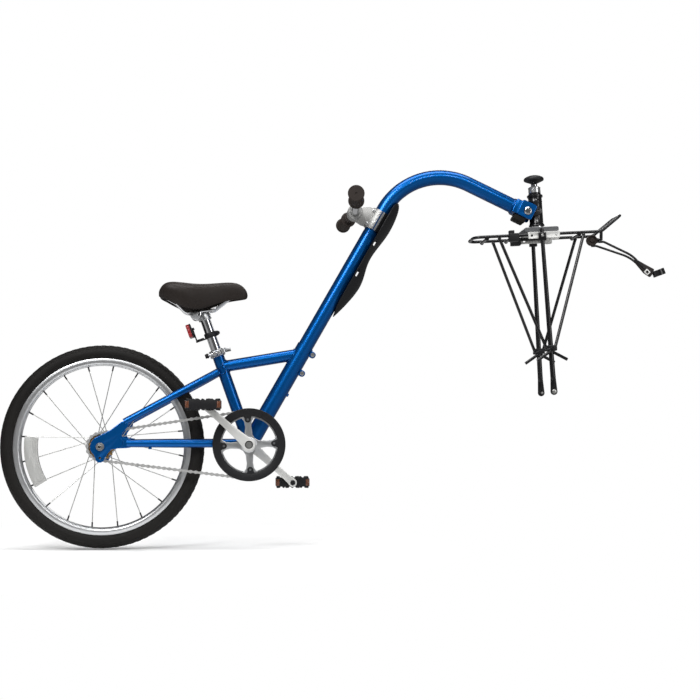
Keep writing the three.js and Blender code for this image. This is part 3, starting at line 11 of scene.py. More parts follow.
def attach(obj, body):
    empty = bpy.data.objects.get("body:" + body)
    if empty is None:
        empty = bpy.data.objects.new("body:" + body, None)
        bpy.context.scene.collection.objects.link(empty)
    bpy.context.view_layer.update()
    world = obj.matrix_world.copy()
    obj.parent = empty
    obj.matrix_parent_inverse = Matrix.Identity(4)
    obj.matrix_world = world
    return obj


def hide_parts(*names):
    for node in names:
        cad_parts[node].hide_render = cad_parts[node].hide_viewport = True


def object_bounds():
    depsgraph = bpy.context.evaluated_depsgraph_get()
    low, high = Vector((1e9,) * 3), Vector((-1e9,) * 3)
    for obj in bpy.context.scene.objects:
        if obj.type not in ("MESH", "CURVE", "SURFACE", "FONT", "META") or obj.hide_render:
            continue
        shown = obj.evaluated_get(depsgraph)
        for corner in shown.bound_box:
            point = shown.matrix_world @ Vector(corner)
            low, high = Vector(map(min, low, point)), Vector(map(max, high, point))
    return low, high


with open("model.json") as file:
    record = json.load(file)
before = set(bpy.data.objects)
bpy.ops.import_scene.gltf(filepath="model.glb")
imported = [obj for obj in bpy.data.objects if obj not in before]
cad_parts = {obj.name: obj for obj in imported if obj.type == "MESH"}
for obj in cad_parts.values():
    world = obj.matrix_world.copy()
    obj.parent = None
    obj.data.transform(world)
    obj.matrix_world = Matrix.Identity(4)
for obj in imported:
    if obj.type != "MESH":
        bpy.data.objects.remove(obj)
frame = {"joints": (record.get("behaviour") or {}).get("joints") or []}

bl_info = {
    "name": "Trailer bike",
    "version": (1, 0, 0),
    "blender": (4, 5, 0),
    "location": "View3D > Sidebar > Trailer bike",
    "description": "Builds the pieces and finishes of a child's trailer bike on its hitch rack",
    "category": "Add Mesh",
}

CAD_BOX = [list(corner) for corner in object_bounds()]
JOINTS = {joint["name"]: joint for joint in frame["joints"]}


def joint_place(name):
    return Vector(JOINTS[name]["pos_m"])


def joint_axis(name):
    return Vector(JOINTS[name]["axis"]).normalized()


# Reference lines of the bike, in the row frame
FORWARD = Vector((1, 0, 0))
ACROSS = Vector((0, 1, 0))
UP = Vector((0, 0, 1))
ORIGIN = Vector((0, 0, 0))
BRACKET = joint_place("crank_spin")
HUB = joint_place("wheel_spin")
BOLT = joint_place("hitch_pitch")
BAR = joint_place("handlebar_tilt")
SADDLE = joint_place("saddle_tilt")
TOW = -joint_axis("frame_split")
TOW_UP = Vector((-TOW.z, 0, TOW.x))
SEAT = joint_axis("seatpost_height")
SEAT_FORE = Vector((SEAT.z, 0, -SEAT.x))
POST = joint_axis("hitch_yaw")
POST_FORE = Vector((POST.z, 0, -POST.x))
SIDES = (("right", -1), ("left", 1))
MM = 0.001
QUARTER = math.pi / 2
FULL_TURN = 2 * math.pi
WHITE = (1, 1, 1, 1)


# Places, all with their distances in millimetres
def on_tow(along, up=0.0, across=0.0):
    """A point beside the tow tube's line, from the bottom bracket."""
    return BRACKET + (TOW * along + TOW_UP * up + ACROSS * across) * MM


def on_seat(along, fore=0.0, across=0.0):
    """A point beside the seat tube's line, from the bottom bracket."""
    return BRACKET + (SEAT * along + SEAT_FORE * fore + ACROSS * across) * MM


def on_rack(fore, across, height):
    """A point of the rack, from the middle of its feet."""
    return (POST_FORE * fore + ACROSS * across + POST * height) * MM


def moved(origin, x, y, z):
    """A point that lies x ahead, y to the left and z over another."""
    return origin + Vector((x, y, z)) * MM


def left_of(origin, across):
    """A point that lies to the left of another."""
    return origin + ACROSS * across * MM


def flat_point(origin, angle, radius, across):
    """A point round an origin in the bike's own plane, moved to the left."""
    return moved(origin, radius * math.cos(angle), across, radius * math.sin(angle))


# Outlines and profiles: pairs of numbers in millimetres
def arc(centre, radius, start, sweep, steps):
    """The points of an arc with both its ends."""
    angles = [start + sweep * k / steps for k in range(steps + 1)]
    return [(centre[0] + radius * math.cos(a), centre[1] + radius * math.sin(a)) for a in angles]


def rectangle(low_x, low_y, high_x, high_y):
    return [(low_x, low_y), (high_x, low_y), (high_x, high_y), (low_x, high_y)]


def mirrored(half):
    """A run of points, followed back by its mirror image in the first axis."""
    return half + [(x, -y) for x, y in reversed(half)]


def swung(outline, angle):
    cos, sin = math.cos(angle), math.sin(angle)
    return [(x * cos - y * sin, x * sin + y * cos) for x, y in outline]


def link_outline(a, b, a_radius, b_radius):
    """The outline of a bar with two round ends."""
    heading = math.atan2(b[1] - a[1], b[0] - a[0])
    first = arc(a, a_radius, heading + QUARTER, math.pi, 12)
    return first + arc(b, b_radius, heading - QUARTER, math.pi, 12)


def box_outline(low_x, low_y, high_x, high_y, radius):
    """The outline of a box with rounded corners."""
    outline = []
    corners = ((high_x, high_y), (low_x, high_y), (low_x, low_y), (high_x, low_y))
    for quarter, (x, y) in enumerate(corners):
        centre = (x - math.copysign(radius, x - (low_x + high_x) / 2),
                  y - math.copysign(radius, y - (low_y + high_y) / 2))
        outline += arc(centre, radius, QUARTER * quarter, QUARTER, 5)
    return outline


# Modelling helpers
def tidy_selection():
    if bpy.context.mode != "OBJECT":
        bpy.ops.object.mode_set(mode="OBJECT")
    bpy.ops.object.select_all(action="DESELECT")


def activate(piece):
    tidy_selection()
    piece.select_set(True)
    bpy.context.view_layer.objects.active = piece


def remove(piece):
    bpy.data.objects.remove(piece, do_unlink=True)


def edit(piece, operator, **settings):
    """Runs an edit mode operator on the whole of a piece's mesh."""
    activate(piece)
    bpy.ops.object.mode_set(mode="EDIT")
    bpy.ops.mesh.select_all(action="SELECT")
    operator(**settings)
    bpy.ops.object.mode_set(mode="OBJECT")
    return piece


def outward(piece):
    edit(piece, bpy.ops.mesh.remove_doubles, threshold=1e-6)
    return edit(piece, bpy.ops.mesh.normals_make_consistent, inside=False)


def apply_all(piece):
    activate(piece)
    for modifier in list(piece.modifiers):
        bpy.ops.object.modifier_apply(modifier=modifier.name)
    return piece


def smooth(piece, degrees=35.0):
    activate(piece)
    bpy.ops.object.shade_smooth_by_angle(angle=math.radians(degrees))
    return piece


def settle(piece, matrix):
    """Moves a piece by a matrix, in its mesh, so that its object stays at the origin."""
    piece.matrix_world = matrix
    activate(piece)
    bpy.ops.object.transform_apply(location=True, rotation=True, scale=True)
    return piece


def add_object(name, data):
    piece = bpy.data.objects.new(name, data)
    bpy.context.collection.objects.link(piece)
    return piece


def mesh_piece(name, points, faces, edges=()):
    mesh = bpy.data.meshes.new(name)
    mesh.from_pydata([tuple(point) for point in points], edges, faces)
    mesh.update()
    return add_object(name, mesh)


def bevel(piece, width, segments=2, angle=30.0):
    modifier = piece.modifiers.new("Edges", "BEVEL")
    modifier.width = width * MM
    modifier.segments = segments
    modifier.limit_method = "ANGLE"
    modifier.angle_limit = math.radians(angle)
    return apply_all(piece)


def boolean(piece, tool, operation="DIFFERENCE"):
    modifier = piece.modifiers.new("Cut", "BOOLEAN")
    modifier.operation = operation
    modifier.solver = "EXACT"
    modifier.object = tool
    apply_all(piece)
    remove(tool)
    return piece


def join(pieces, name):
    activate(pieces[0])
    for piece in pieces:
        piece.select_set(True)
    bpy.ops.object.join()
    whole = bpy.context.view_layer.objects.active
    whole.name = name
    return whole


def copy_piece(piece, name, matrix):
    """A copy with a mesh of its own, moved by a matrix."""
    twin = add_object(name, piece.data.copy())
    twin.data.transform(matrix)
    return twin


def frame_of(x, z):
    """The turn that takes +X and +Z to two directions square to each other."""
    return Matrix((x, z.cross(x), z)).transposed().to_4x4()


def facing(direction):
    """The turn that takes +Z to a direction, with +X kept level."""
    z = direction.normalized()
    x = UP.cross(z)
    return frame_of(x.normalized() if x.length > 1e-6 else FORWARD, z)


def tube(name, points, radius, closed=False, sides=8, radii=None):
    """A round tube through points in metres; radii are shares of its radius in millimetres."""
    curve = bpy.data.curves.new(name, "CURVE")
    curve.dimensions = "3D"
    curve.bevel_depth = radius * MM
    curve.bevel_resolution = sides
    curve.use_fill_caps = not closed
    spline = curve.splines.new("POLY")
    spline.points.add(len(points) - 1)
    for index, point in enumerate(points):
        spline.points[index].co = (*point, 1)
        if radii:
            spline.points[index].radius = radii[index]
    spline.use_cyclic_u = closed
    activate(add_object(name, curve))
    bpy.ops.object.convert(target="MESH")
    return smooth(outward(bpy.context.view_layer.objects.active))


def rounded(corners, radius, steps=8, share=0.45):
    """The corners of a line in metres, with each inner one rounded to a radius in millimetres."""
    points = [corners[0]]
    for before, corner, after in zip(corners, corners[1:], corners[2:]):
        back = (before - corner).normalized()
        ahead = (after - corner).normalized()
        half = back.angle(ahead) / 2
        shorter = min((before - corner).length, (after - corner).length)
        reach = min(radius * MM / math.tan(half), share * shorter)
        arc_radius = reach * math.tan(half)
        centre = corner + (back + ahead).normalized() * (arc_radius / math.sin(half))
        start = corner + back * reach - centre
        end = corner + ahead * reach - centre
        pivot, sweep = start.cross(end), start.angle(end)
        points += [centre + Matrix.Rotation(sweep * k / steps, 3, pivot) @ start for k in range(steps + 1)]
    return points + [corners[-1]]


def turned(name, profile, origin, direction, sides=48):
    """(radius, height) pairs spun about a direction; a profile with both ends off the axis is closed."""
    if profile[0][0] and profile[-1][0]:
        profile = profile + profile[:1]
    points = [Vector((radius * MM, 0, height * MM)) for radius, height in profile]
    piece = mesh_piece(name, points, [], [(i, i + 1) for i in range(len(points) - 1)])
    edit(piece, bpy.ops.mesh.spin, steps=sides, angle=FULL_TURN, center=(0, 0, 0), axis=(0, 0, 1),
         use_auto_merge=True)
    outward(piece)
    return smooth(settle(piece, Matrix.Translation(origin) @ facing(direction)))


def cylinder(name, start, end, radius, edge=0.0, sides=40):
    """A round bar between two points in metres, its rims eased by a bevel in millimetres."""
    tidy_selection()
    along = end - start
    bpy.ops.mesh.primitive_cylinder_add(vertices=sides, radius=radius * MM, depth=along.length)
    piece = bpy.context.view_layer.objects.active
    piece.name = name
    settle(piece, Matrix.Translation((start + end) / 2) @ facing(along))
    if edge:
        bevel(piece, edge)
    return smooth(piece)


def drill(piece, start, end, radius, sides=40):
    """Bores a round hole from one point to another."""
    return boolean(piece, cylinder("bore", start, end, radius, 0.0, sides))


def hexagon(name, origin, direction, radius, low, high, edge):
    return cylinder(name, origin + direction * low * MM, origin + direction * high * MM, radius, edge, 6)


def block(name, centre, size, edge=0.0, turn_matrix=None):
    """A block with its centre in metres and its size in millimetres, its edges eased."""
    tidy_selection()
    bpy.ops.mesh.primitive_cube_add(size=1)
    piece = bpy.context.view_layer.objects.active
    piece.name = name
    scale = Matrix.Diagonal((size[0] * MM, size[1] * MM, size[2] * MM, 1))
    settle(piece, Matrix.Translation(centre) @ (turn_matrix or Matrix.Identity(4)) @ scale)
    if edge:
        bevel(piece, edge, 3)
    return smooth(piece)


def slab(name, outline, origin, right, up, low, high, edge=0.0):
    """An outline in millimetres on two directions, given thickness along their normal."""
    normal = right.cross(up).normalized()
    points = [origin + (right * x + up * y + normal * low) * MM for x, y in outline]
    piece = mesh_piece(name, points, [list(range(len(points)))])
    edit(piece, bpy.ops.mesh.extrude_region_move,
         TRANSFORM_OT_translate={"value": tuple(normal * (high - low) * MM)})
    outward(piece)
    if edge:
        bevel(piece, edge)
    return smooth(piece)


def plate_piece(name, outline, origin, from_y, to_y, edge=0.0):
    """A plate in the bike's own plane, between two distances to the left of its middle."""
    low, high = sorted((-from_y, -to_y))
    return slab(name, outline, origin, FORWARD, UP, low, high, edge)


def dress(piece, finish_name, body, node=""):
    """Gives a piece its finish, its body and the CAD node that it stands for."""
    piece.data.materials.clear()
    piece.data.materials.append(FINISHES[finish_name])
    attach(piece, body)
    if node:
        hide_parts(node)
    return piece


# Shared shading
def feed(tree, sockets, values):
    """Gives each named socket a value, or a link from another node's output."""
    for key, value in values.items():
        if isinstance(value, bpy.types.NodeSocket):
            tree.links.new(value, sockets[key])
        else:
            sockets[key].default_value = value


def put(tree, kind, inputs=None, **settings):
    """Adds a shading node with its settings and inputs, and gives back its outputs."""
    node = tree.nodes.new("ShaderNode" + kind)
    for key, value in settings.items():
        setattr(node, key, value)
    feed(tree, node.inputs, inputs or {})
    return node.outputs


def math_node(tree, operation, first, second, clamp=False):
    return put(tree, "Math", {0: first, 1: second}, operation=operation, use_clamp=clamp)[0]


def mixed(tree, share, first, second, blend="MIX"):
    return put(tree, "Mix", {"Factor": share, "A": first, "B": second}, data_type="RGBA",
               blend_type=blend)["Result"]


def group_tree(name, inputs, outputs):
    """A shading group; an input without a default is a vector, and so is an output called Normal."""
    tree = bpy.data.node_groups.new(name, "ShaderNodeTree")
    for label, default in inputs.items():
        kind = "NodeSocketVector" if default is None else "NodeSocketFloat"
        socket = tree.interface.new_socket(name=label, in_out="INPUT", socket_type=kind)
        if default is not None:
            socket.default_value = default
    for label in outputs:
        kind = "NodeSocketVector" if label == "Normal" else "NodeSocketFloat"
        tree.interface.new_socket(name=label, in_out="OUTPUT", socket_type=kind)
    return tree, tree.nodes.new("NodeGroupInput").outputs, tree.nodes.new("NodeGroupOutput").inputs


def grain_group():
    """Fine relief and a soft mottle over a surface, from its object coordinates."""
    tree, given, result = group_tree(
        "Surface grain", {"Vector": None, "Grain": 900.0, "Mottle": 12.0, "Relief": 0.1}, ("Mask", "Normal"))
    place = given["Vector"]
    fine = put(tree, "TexNoise", {"Vector": place, "Scale": given["Grain"], "Detail": 3})
    broad = put(tree, "TexNoise", {
        "Vector": place, "Scale": given["Mottle"], "Detail": 6, "Roughness": 0.62})
    relief = put(tree, "Bump", {"Strength": given["Relief"], "Distance": 0.0004, "Height": fine["Fac"]})
    feed(tree, result, {"Mask": broad["Fac"], "Normal": relief["Normal"]})
    return tree


def scuff_group():
    """A mask of thin scratches and dull patches for handled metal and plastic."""
    tree, given, result = group_tree("Scuffs", {"Vector": None, "Amount": 0.3}, ("Mask",))
    place = given["Vector"]
    stretched = put(tree, "Mapping", {"Vector": place, "Scale": (60, 900, 90), "Rotation": (0.4, 0.7, 0.2)})
    lines = put(tree, "TexNoise", {"Vector": stretched["Vector"], "Scale": 1, "Detail": 2})["Fac"]
    patches = put(tree, "TexNoise", {"Vector": place, "Scale": 9, "Detail": 4})["Fac"]
    thin = math_node(tree, "MULTIPLY", math_node(tree, "SUBTRACT", lines, 0.6), 7, True)
    broad = math_node(tree, "MULTIPLY", math_node(tree, "SUBTRACT", patches, 0.48), 4, True)
    mask = math_node(tree, "MULTIPLY", math_node(tree, "MULTIPLY", thin, broad), given["Amount"])
    feed(tree, result, {"Mask": mask})
    return tree


def lens_group():
    """The small pyramids moulded in a reflector's lens."""
    tree, given, result = group_tree("Lens prisms", {"Vector": None, "Pitch": 420.0}, ("Mask", "Normal"))
    cells = put(tree, "TexVoronoi", {"Vector": given["Vector"], "Scale": given["Pitch"], "Randomness": 0},
                distance="CHEBYCHEV")["Distance"]
    relief = put(tree, "Bump", {"Strength": 0.8, "Distance": 0.001, "Height": cells})
    feed(tree, result, {"Mask": cells, "Normal": relief["Normal"]})
    return tree


GROUPS = {}
FINISHES = {}


def finish(name, dark, light, roughness, metallic=0.0, grain=900, mottle=12, relief=0.1, spread=0.08,
           scuff=0.0, coat=0.0, edge=None, pitch=0, specular=0.5):
    """A surface between two colours, with grain, mottle, scuffs and, at need, a tint at glancing angles:
    painted shade along its outline.
    """
    material = bpy.data.materials.new(name)
    material.use_nodes = True
    tree = material.node_tree
    place = put(tree, "TexCoord")["Object"]
    grains = put(tree, "Group", {"Vector": place, "Grain": grain, "Mottle": mottle, "Relief": relief},
                 node_tree=GROUPS["grain"])
    colour = mixed(tree, grains["Mask"], (*dark, 1), (*light, 1))
    normal = grains["Normal"]
    rough = math_node(tree, "MULTIPLY", grains["Mask"], spread)
    rough = math_node(tree, "ADD", rough, roughness - spread / 2)
    # Painted shade: the colour turns to the edge tint where the surface turns away from the view.
    if edge:
        painted_edge_shade = put(tree, "LayerWeight", {"Blend": 0.45})["Facing"]
        colour = mixed(tree, painted_edge_shade, colour, (*edge, 1))
    if pitch:
        prisms = put(tree, "Group", {"Vector": place, "Pitch": pitch}, node_tree=GROUPS["lens"])
        colour = mixed(tree, 0.6, colour, prisms["Mask"], "MULTIPLY")
        normal = prisms["Normal"]
    if scuff:
        scuffs = put(tree, "Group", {"Vector": place, "Amount": scuff}, node_tree=GROUPS["scuff"])
        rough = math_node(tree, "ADD", rough, math_node(tree, "MULTIPLY", scuffs["Mask"], 0.35))
    feed(tree, tree.nodes["Principled BSDF"].inputs, {
        "Base Color": colour, "Roughness": rough, "Normal": normal, "Metallic": metallic,
        "Specular IOR Level": specular, "Coat Weight": coat, "Coat Roughness": 0.06})
    FINISHES[name] = material


def build_finishes():
    GROUPS.update(grain=grain_group(), scuff=scuff_group(), lens=lens_group())
    finish("black_paint", (0.004, 0.004, 0.0045), (0.008, 0.008, 0.009), 0.24, relief=0.02, scuff=0.25,
           coat=0.35, specular=0.35)
    # The blue paint's edge tint is painted shade, a dark navy along the tubes' outlines.
    finish("blue_paint", (0.0, 0.1, 0.37), (0.0, 0.112, 0.41), 0.31, 0.75, grain=40, mottle=6, relief=0.0,
           spread=0.03, coat=0.22, edge=(0.0, 0.003, 0.045), specular=0.2)
    finish("chrome", (0.72, 0.73, 0.75), (0.82, 0.83, 0.85), 0.1, 1.0, relief=0.0, spread=0.06, scuff=0.3)
    finish(
        "silver_alloy", (0.56, 0.57, 0.58), (0.68, 0.69, 0.7), 0.34, 1.0, grain=1500, relief=0.02,
        scuff=0.3)
    finish(
        "cast_alloy", (0.34, 0.34, 0.33), (0.42, 0.42, 0.41), 0.46, 0.7, grain=300, mottle=40, relief=0.005)
    finish("bright_alloy", (0.66, 0.66, 0.64), (0.78, 0.78, 0.76), 0.42, 0.35, grain=500, mottle=30,
           relief=0.02)
    finish("polished_alloy", (0.62, 0.63, 0.64), (0.74, 0.75, 0.76), 0.24, 0.9, grain=300, relief=0.0,
           spread=0.04)
    finish(
        "zinc_steel", (0.42, 0.42, 0.41), (0.56, 0.56, 0.54), 0.36, 1.0, grain=1300, mottle=60, scuff=0.3)
    finish(
        "chain_steel", (0.56, 0.56, 0.55), (0.7, 0.7, 0.69), 0.36, 0.7, mottle=90, relief=0.04, scuff=0.2)
    finish("bronze_steel", (0.2, 0.12, 0.045), (0.38, 0.25, 0.11), 0.36, 1.0, mottle=70, relief=0.08)
    finish("black_plastic", (0.009, 0.009, 0.01), (0.016, 0.016, 0.018), 0.46, grain=1700, relief=0.3,
           specular=0.24)
    finish("grey_plastic", (0.075, 0.078, 0.082), (0.1, 0.103, 0.108), 0.42, grain=1500, relief=0.3)
    finish("black_rubber", (0.014, 0.011, 0.011), (0.03, 0.024, 0.023), 0.62, grain=1400, relief=0.4,
           specular=0.3)
    finish("dark_rubber", (0.016, 0.011, 0.009), (0.034, 0.024, 0.019), 0.6, grain=1300, relief=0.3,
           specular=0.3)
    finish("tyre_rubber", (0.006, 0.0055, 0.005), (0.013, 0.012, 0.011), 0.68, grain=1200, relief=0.4,
           specular=0.18)
    finish("saddle_vinyl", (0.012, 0.0085, 0.007), (0.024, 0.018, 0.015), 0.5, grain=620, relief=0.7,
           specular=0.28)
    # Painted shade: near black, for the dark insides of holes and recesses.
    finish("satin_line", (0.004, 0.004, 0.005), (0.01, 0.01, 0.012), 0.5)
    finish("red_lens", (0.5, 0.012, 0.02), (0.62, 0.02, 0.03), 0.22, pitch=380, coat=0.8)
    finish("amber_lens", (0.16, 0.042, 0.012), (0.24, 0.065, 0.016), 0.22, pitch=420, coat=0.8)
    finish("clear_lens", (0.62, 0.62, 0.6), (0.78, 0.78, 0.76), 0.2, 0.1, pitch=420, coat=0.8)


def length(label, description, millimetres):
    return FloatProperty(name=label, description=description, default=millimetres * MM, unit="LENGTH",
                         subtype="DISTANCE", precision=4)


def turn(label, description, degrees):
    return FloatProperty(
        name=label, description=description, default=math.radians(degrees), subtype="ANGLE")


def count(label, description, number):
    return IntProperty(name=label, description=description, default=number, min=1)


class Sizes:
    """A group's sizes for modelling: lengths in millimetres, angles in radians."""

    def __init__(self, group):
        for key, prop in group.bl_rna.properties.items():
            if key not in {"rna_type", "name"}:
                value = getattr(group, key)
                setattr(self, key, value / MM if prop.unit == "LENGTH" else value)


def sizes(name):
    return Sizes(getattr(bpy.context.scene.trailer_bike, name))


# The rear wheel
class WheelSizes(PropertyGroup):
    tyre_radius: length("Tyre radius", "Radius to the top of the tread", 244.4)
    tyre_half: length("Tyre half width", "Half the tyre's width", 22)
    bead_radius: length("Bead radius", "Radius where the tyre meets the rim", 210)
    tread_height: length("Tread height", "Height of the tread's blocks", 1.1)
    tread_blocks: count("Tread blocks", "Blocks in each row round the tyre", 84)
    rim_inner: length("Rim inner radius", "Radius to the crown of the rim", 194.5)
    rim_half: length("Rim half width", "Half the rim's width", 14)
    spokes: count("Spokes", "Spokes in the wheel", 20)
    spoke_radius: length("Spoke radius", "Radius of a spoke", 1.05)
    spoke_start: turn("First spoke", "Angle of the first spoke at the rim", -7)
    spoke_lead: turn("Spoke lead", "Angle from a spoke's hole in the flange to its nipple", 74)
    spoke_circle: length("Spoke circle", "Radius of the holes in the flanges", 21)
    nipple_length: length("Nipple length", "Length of a spoke's nipple below the rim", 13)
    flange_radius: length("Flange radius", "Radius of the hub's flanges", 26)
    right_flange: length("Right flange", "Distance of the chain side's flange from the middle", 22)
    left_flange: length("Left flange", "Distance of the left flange from the middle", 27)
    hub_end: length("Hub end", "Distance from the middle to the hub's end", 33)
    barrel: length("Barrel radius", "Radius of the hub between its flanges", 12.5)
    lens_angle: turn("Reflector angle", "Place of the spoke reflector round the wheel", 192)
    lens_span: turn("Reflector half span", "Half the reflector's reach round the wheel", 19.5)
    lens_inner: length("Reflector inner radius", "Radius of the reflector's inner edge", 155.5)
    lens_outer: length("Reflector outer radius", "Radius of the reflector's outer edge", 187.5)


# The height of the tyre's wall as a share of its half width
SIDEWALL = 0.86


def tyre_profile(size):
    """The tyre's section as (radius, across), from one bead over the tread to the other."""
    crown = size.tyre_radius - size.tread_height
    middle = crown - SIDEWALL * size.tyre_half
    outer = []
    for k in range(25):
        angle = math.pi * (0.5 + 1.18 * (k / 24 - 0.5))
        outer.append((middle + (crown - middle) * math.sin(angle), size.tyre_half * 0.98 * math.cos(angle)))
    bead = size.bead_radius + 0.6
    return [(bead, 11.5)] + outer + [
        (bead, -11.5), (bead, -8), (middle, -size.tyre_half + 5), (middle, size.tyre_half - 5), (bead, 8)]


def make_tyre(size):
    tyre = turned("tyre_casing", tyre_profile(size), HUB, ACROSS, 144)
    blocks = []
    step = FULL_TURN / size.tread_blocks
    crown = size.tyre_radius - size.tread_height
    rows = (
        (0.0, 0.0, 9.0, 10.5), (9.5, 0.5, 7.5, 8.0), (-9.5, 0.5, 7.5, 8.0), (16.2, 0.0, 5.0, 9.5),
        (-16.2, 0.0, 5.0, 9.5))
    for across, phase, wide, long in rows:
        lean = math.asin(max(-1, min(1, across / size.tyre_half)))
        reach = crown - SIDEWALL * size.tyre_half * (1 - math.cos(lean)) - 0.4
        centre = Vector((0, across, reach)) * MM
        tilt = Matrix.Rotation(-lean, 4, "X")
        model = block("tread_block", centre, (
            long, wide, 2 * size.tread_height * math.cos(lean)), 0.5, tilt)
        for k in range(size.tread_blocks):
            spin = Matrix.Translation(HUB) @ Matrix.Rotation(step * (k + phase), 4, "Y")
            blocks.append(copy_piece(model, "tread_block", spin))
        remove(model)
    dress(join([tyre] + blocks, "tyre_with_tread"), "tyre_rubber", "wheel", "tyre")
    for side, sign in SIDES:
        rib_radius = size.bead_radius + 4.5
        ring = [flat_point(HUB, FULL_TURN * k / 120, rib_radius, sign * 13.6) for k in range(120)]
        dress(tube("tyre_rib_" + side, ring, 0.9, closed=True, sides=3), "tyre_rubber", "wheel")


def make_rim(size):
    inner, side = size.rim_inner, size.rim_half
    outer = size.bead_radius + 2.5
    half = [
        (inner, -5), (inner + 0.8, -7.5), (inner + 4, 1.6 - side), (inner + 6.5, 0.3 - side),
        (inner + 8, -side), (outer - 1, -side), (outer, 0.7 - side), (outer, 2 - side),
        (outer - 6, 3 - side)]
    dress(turned("wheel_rim", mirrored(half), HUB, ACROSS, 144), "silver_alloy", "wheel", "rim")


def make_hub(size):
    thick = 1.6
    cone = size.hub_end
    right, left = -size.right_flange, size.left_flange
    profile = [
        (6, -cone), (9, -cone), (9.5, -cone + 1), (10.5, right - 4), (16, right - thick),
        (size.flange_radius - 1, right - thick), (size.flange_radius, right),
        (size.flange_radius - 1, right + thick), (size.barrel + 4, right + thick + 0.5),
        (size.barrel, right + 5), (size.barrel - 0.8, 0), (size.barrel, left - 5),
        (size.barrel + 4, left - thick - 0.5), (size.flange_radius - 1, left - thick),
        (size.flange_radius, left), (size.flange_radius - 1, left + thick), (16, left + thick),
        (10.5, left + 2.5), (9.5, cone - 1), (9, cone), (6, cone)]
    dress(turned("wheel_hub", profile, HUB, ACROSS, 64), "silver_alloy", "wheel", "hub_and_spokes")
    spokes, nipples = [], []
    for k in range(size.spokes):
        rim_angle = FULL_TURN * k / size.spokes + size.spoke_start
        flange = right if k % 2 == 0 else left
        lead = size.spoke_lead if k // 2 % 2 == 0 else -size.spoke_lead
        out = 2.2 if k // 2 % 2 == 0 else -2.2
        start = flat_point(HUB, rim_angle + lead, size.spoke_circle, flange - out * 0.6)
        leave = flat_point(HUB, rim_angle + lead, size.spoke_circle, flange + out)
        end = flat_point(HUB, rim_angle, size.rim_inner + 1.5, 0)
        along = (end - leave).normalized()
        elbow = leave + along * (3 * MM)
        spokes.append(tube("spoke", [start, leave, elbow, end], size.spoke_radius, sides=3))
        foot = end - along * (size.nipple_length * MM)
        nipples.append(cylinder("nipple", foot, end, 1.9, 0.4, 12))
    dress(join(spokes, "spokes"), "zinc_steel", "wheel")
    dress(join(nipples, "spoke_nipples"), "black_plastic", "wheel")


def lens_outline(size, trim, inner_share, outer_share):
    """The spoke reflector's outline, trimmed at its edges and at its ends."""
    inner, outer = size.lens_span * inner_share, size.lens_span * outer_share
    low = arc((0, 0), size.lens_inner + trim, size.lens_angle - inner, 2 * inner, 16)
    return low + arc((0, 0), size.lens_outer - trim, size.lens_angle + outer, -2 * outer, 16)


def make_spoke_lens(size):
    shell = slab("spoke_reflector_frame", lens_outline(size, 0, 1, 1), HUB, FORWARD, UP, -5.2, 5.2, 1.2)
    dress(shell, "clear_lens", "wheel", "spoke_reflector")
    inset = lens_outline(size, 4, 0.88, 0.9)
    for side, sign in SIDES:
        face = slab("spoke_reflector_lens_" + side, inset, HUB, FORWARD, UP, sign * 4.2, sign * 6.6, 0.8)
        dress(face, "clear_lens", "wheel")


class TRAILERBIKE_OT_wheel(Operator):
    """Models the tyre with its tread, the rim, the spokes, the hub and the spoke reflector"""
    bl_idname = "trailer_bike.wheel"
    bl_label = "Wheel"

    def execute(self, context):
        size = sizes("wheel")
        make_tyre(size)
        make_rim(size)
        make_hub(size)
        make_spoke_lens(size)
        return {"FINISHED"}


# The drivetrain
class DriveSizes(PropertyGroup):
    pitch: length("Chain pitch", "Distance between two rollers", 12.7)
    line: length("Chain line", "Distance of the chain from the middle of the bike", 42)
    ring_teeth: count("Chainring teeth", "Teeth on the chainring", 40)
    cog_teeth: count("Cog teeth", "Teeth on the cog", 16)
    ring_inner: length("Ring inner radius", "Radius of the chainring's opening", 65)
    arm_width: length("Arm width", "Width of a spider arm at its middle", 15)
    arm_angle: turn("Arm angle", "Angle of the first spider arm", 3)
    guard_inner_y: length("Guard face", "Distance of the guard's inner face from the middle", 47.2)
    guard_outer_y: length("Guard outer face", "Distance of the guard's outer face from the middle", 50.2)
    guard_outer: length("Guard radius", "Outer radius of the chain guard", 87.4)
    guard_inner: length("Guard inner radius", "Inner radius of the chain guard", 68.5)
    crank_length: length("Crank length", "From the spindle to the pedal", 143.5)
    crank_angle: turn("Crank angle", "Angle of the right crank above the level", 138.4)
    crank_inner: length("Crank face", "Distance of the crank's inner face from the middle", 52)
    crank_thick: length("Crank thickness", "Thickness of a crank", 13.6)
    boss_radius: length("Crank boss", "Radius of the crank's end on the spindle", 15.6)
    eye_radius: length("Crank eye", "Radius of the crank's end at the pedal", 10.2)
    pedal_inner: length("Pedal inner end", "Distance of the pedal's inner end from the middle", 69.4)
    pedal_outer: length("Pedal outer end", "Distance of the pedal's outer end from the middle", 128.6)
    pedal_half_length: length("Pedal half length", "Half the pedal's length", 42)
    pedal_teeth: count("Pedal teeth", "Teeth along each edge of a pedal's end plates", 7)
    pedal_half_height: length("Pedal half height", "Half the pedal's height", 14)


def pitch_radius(size, teeth):
    return size.pitch / (2 * math.sin(math.pi / teeth))


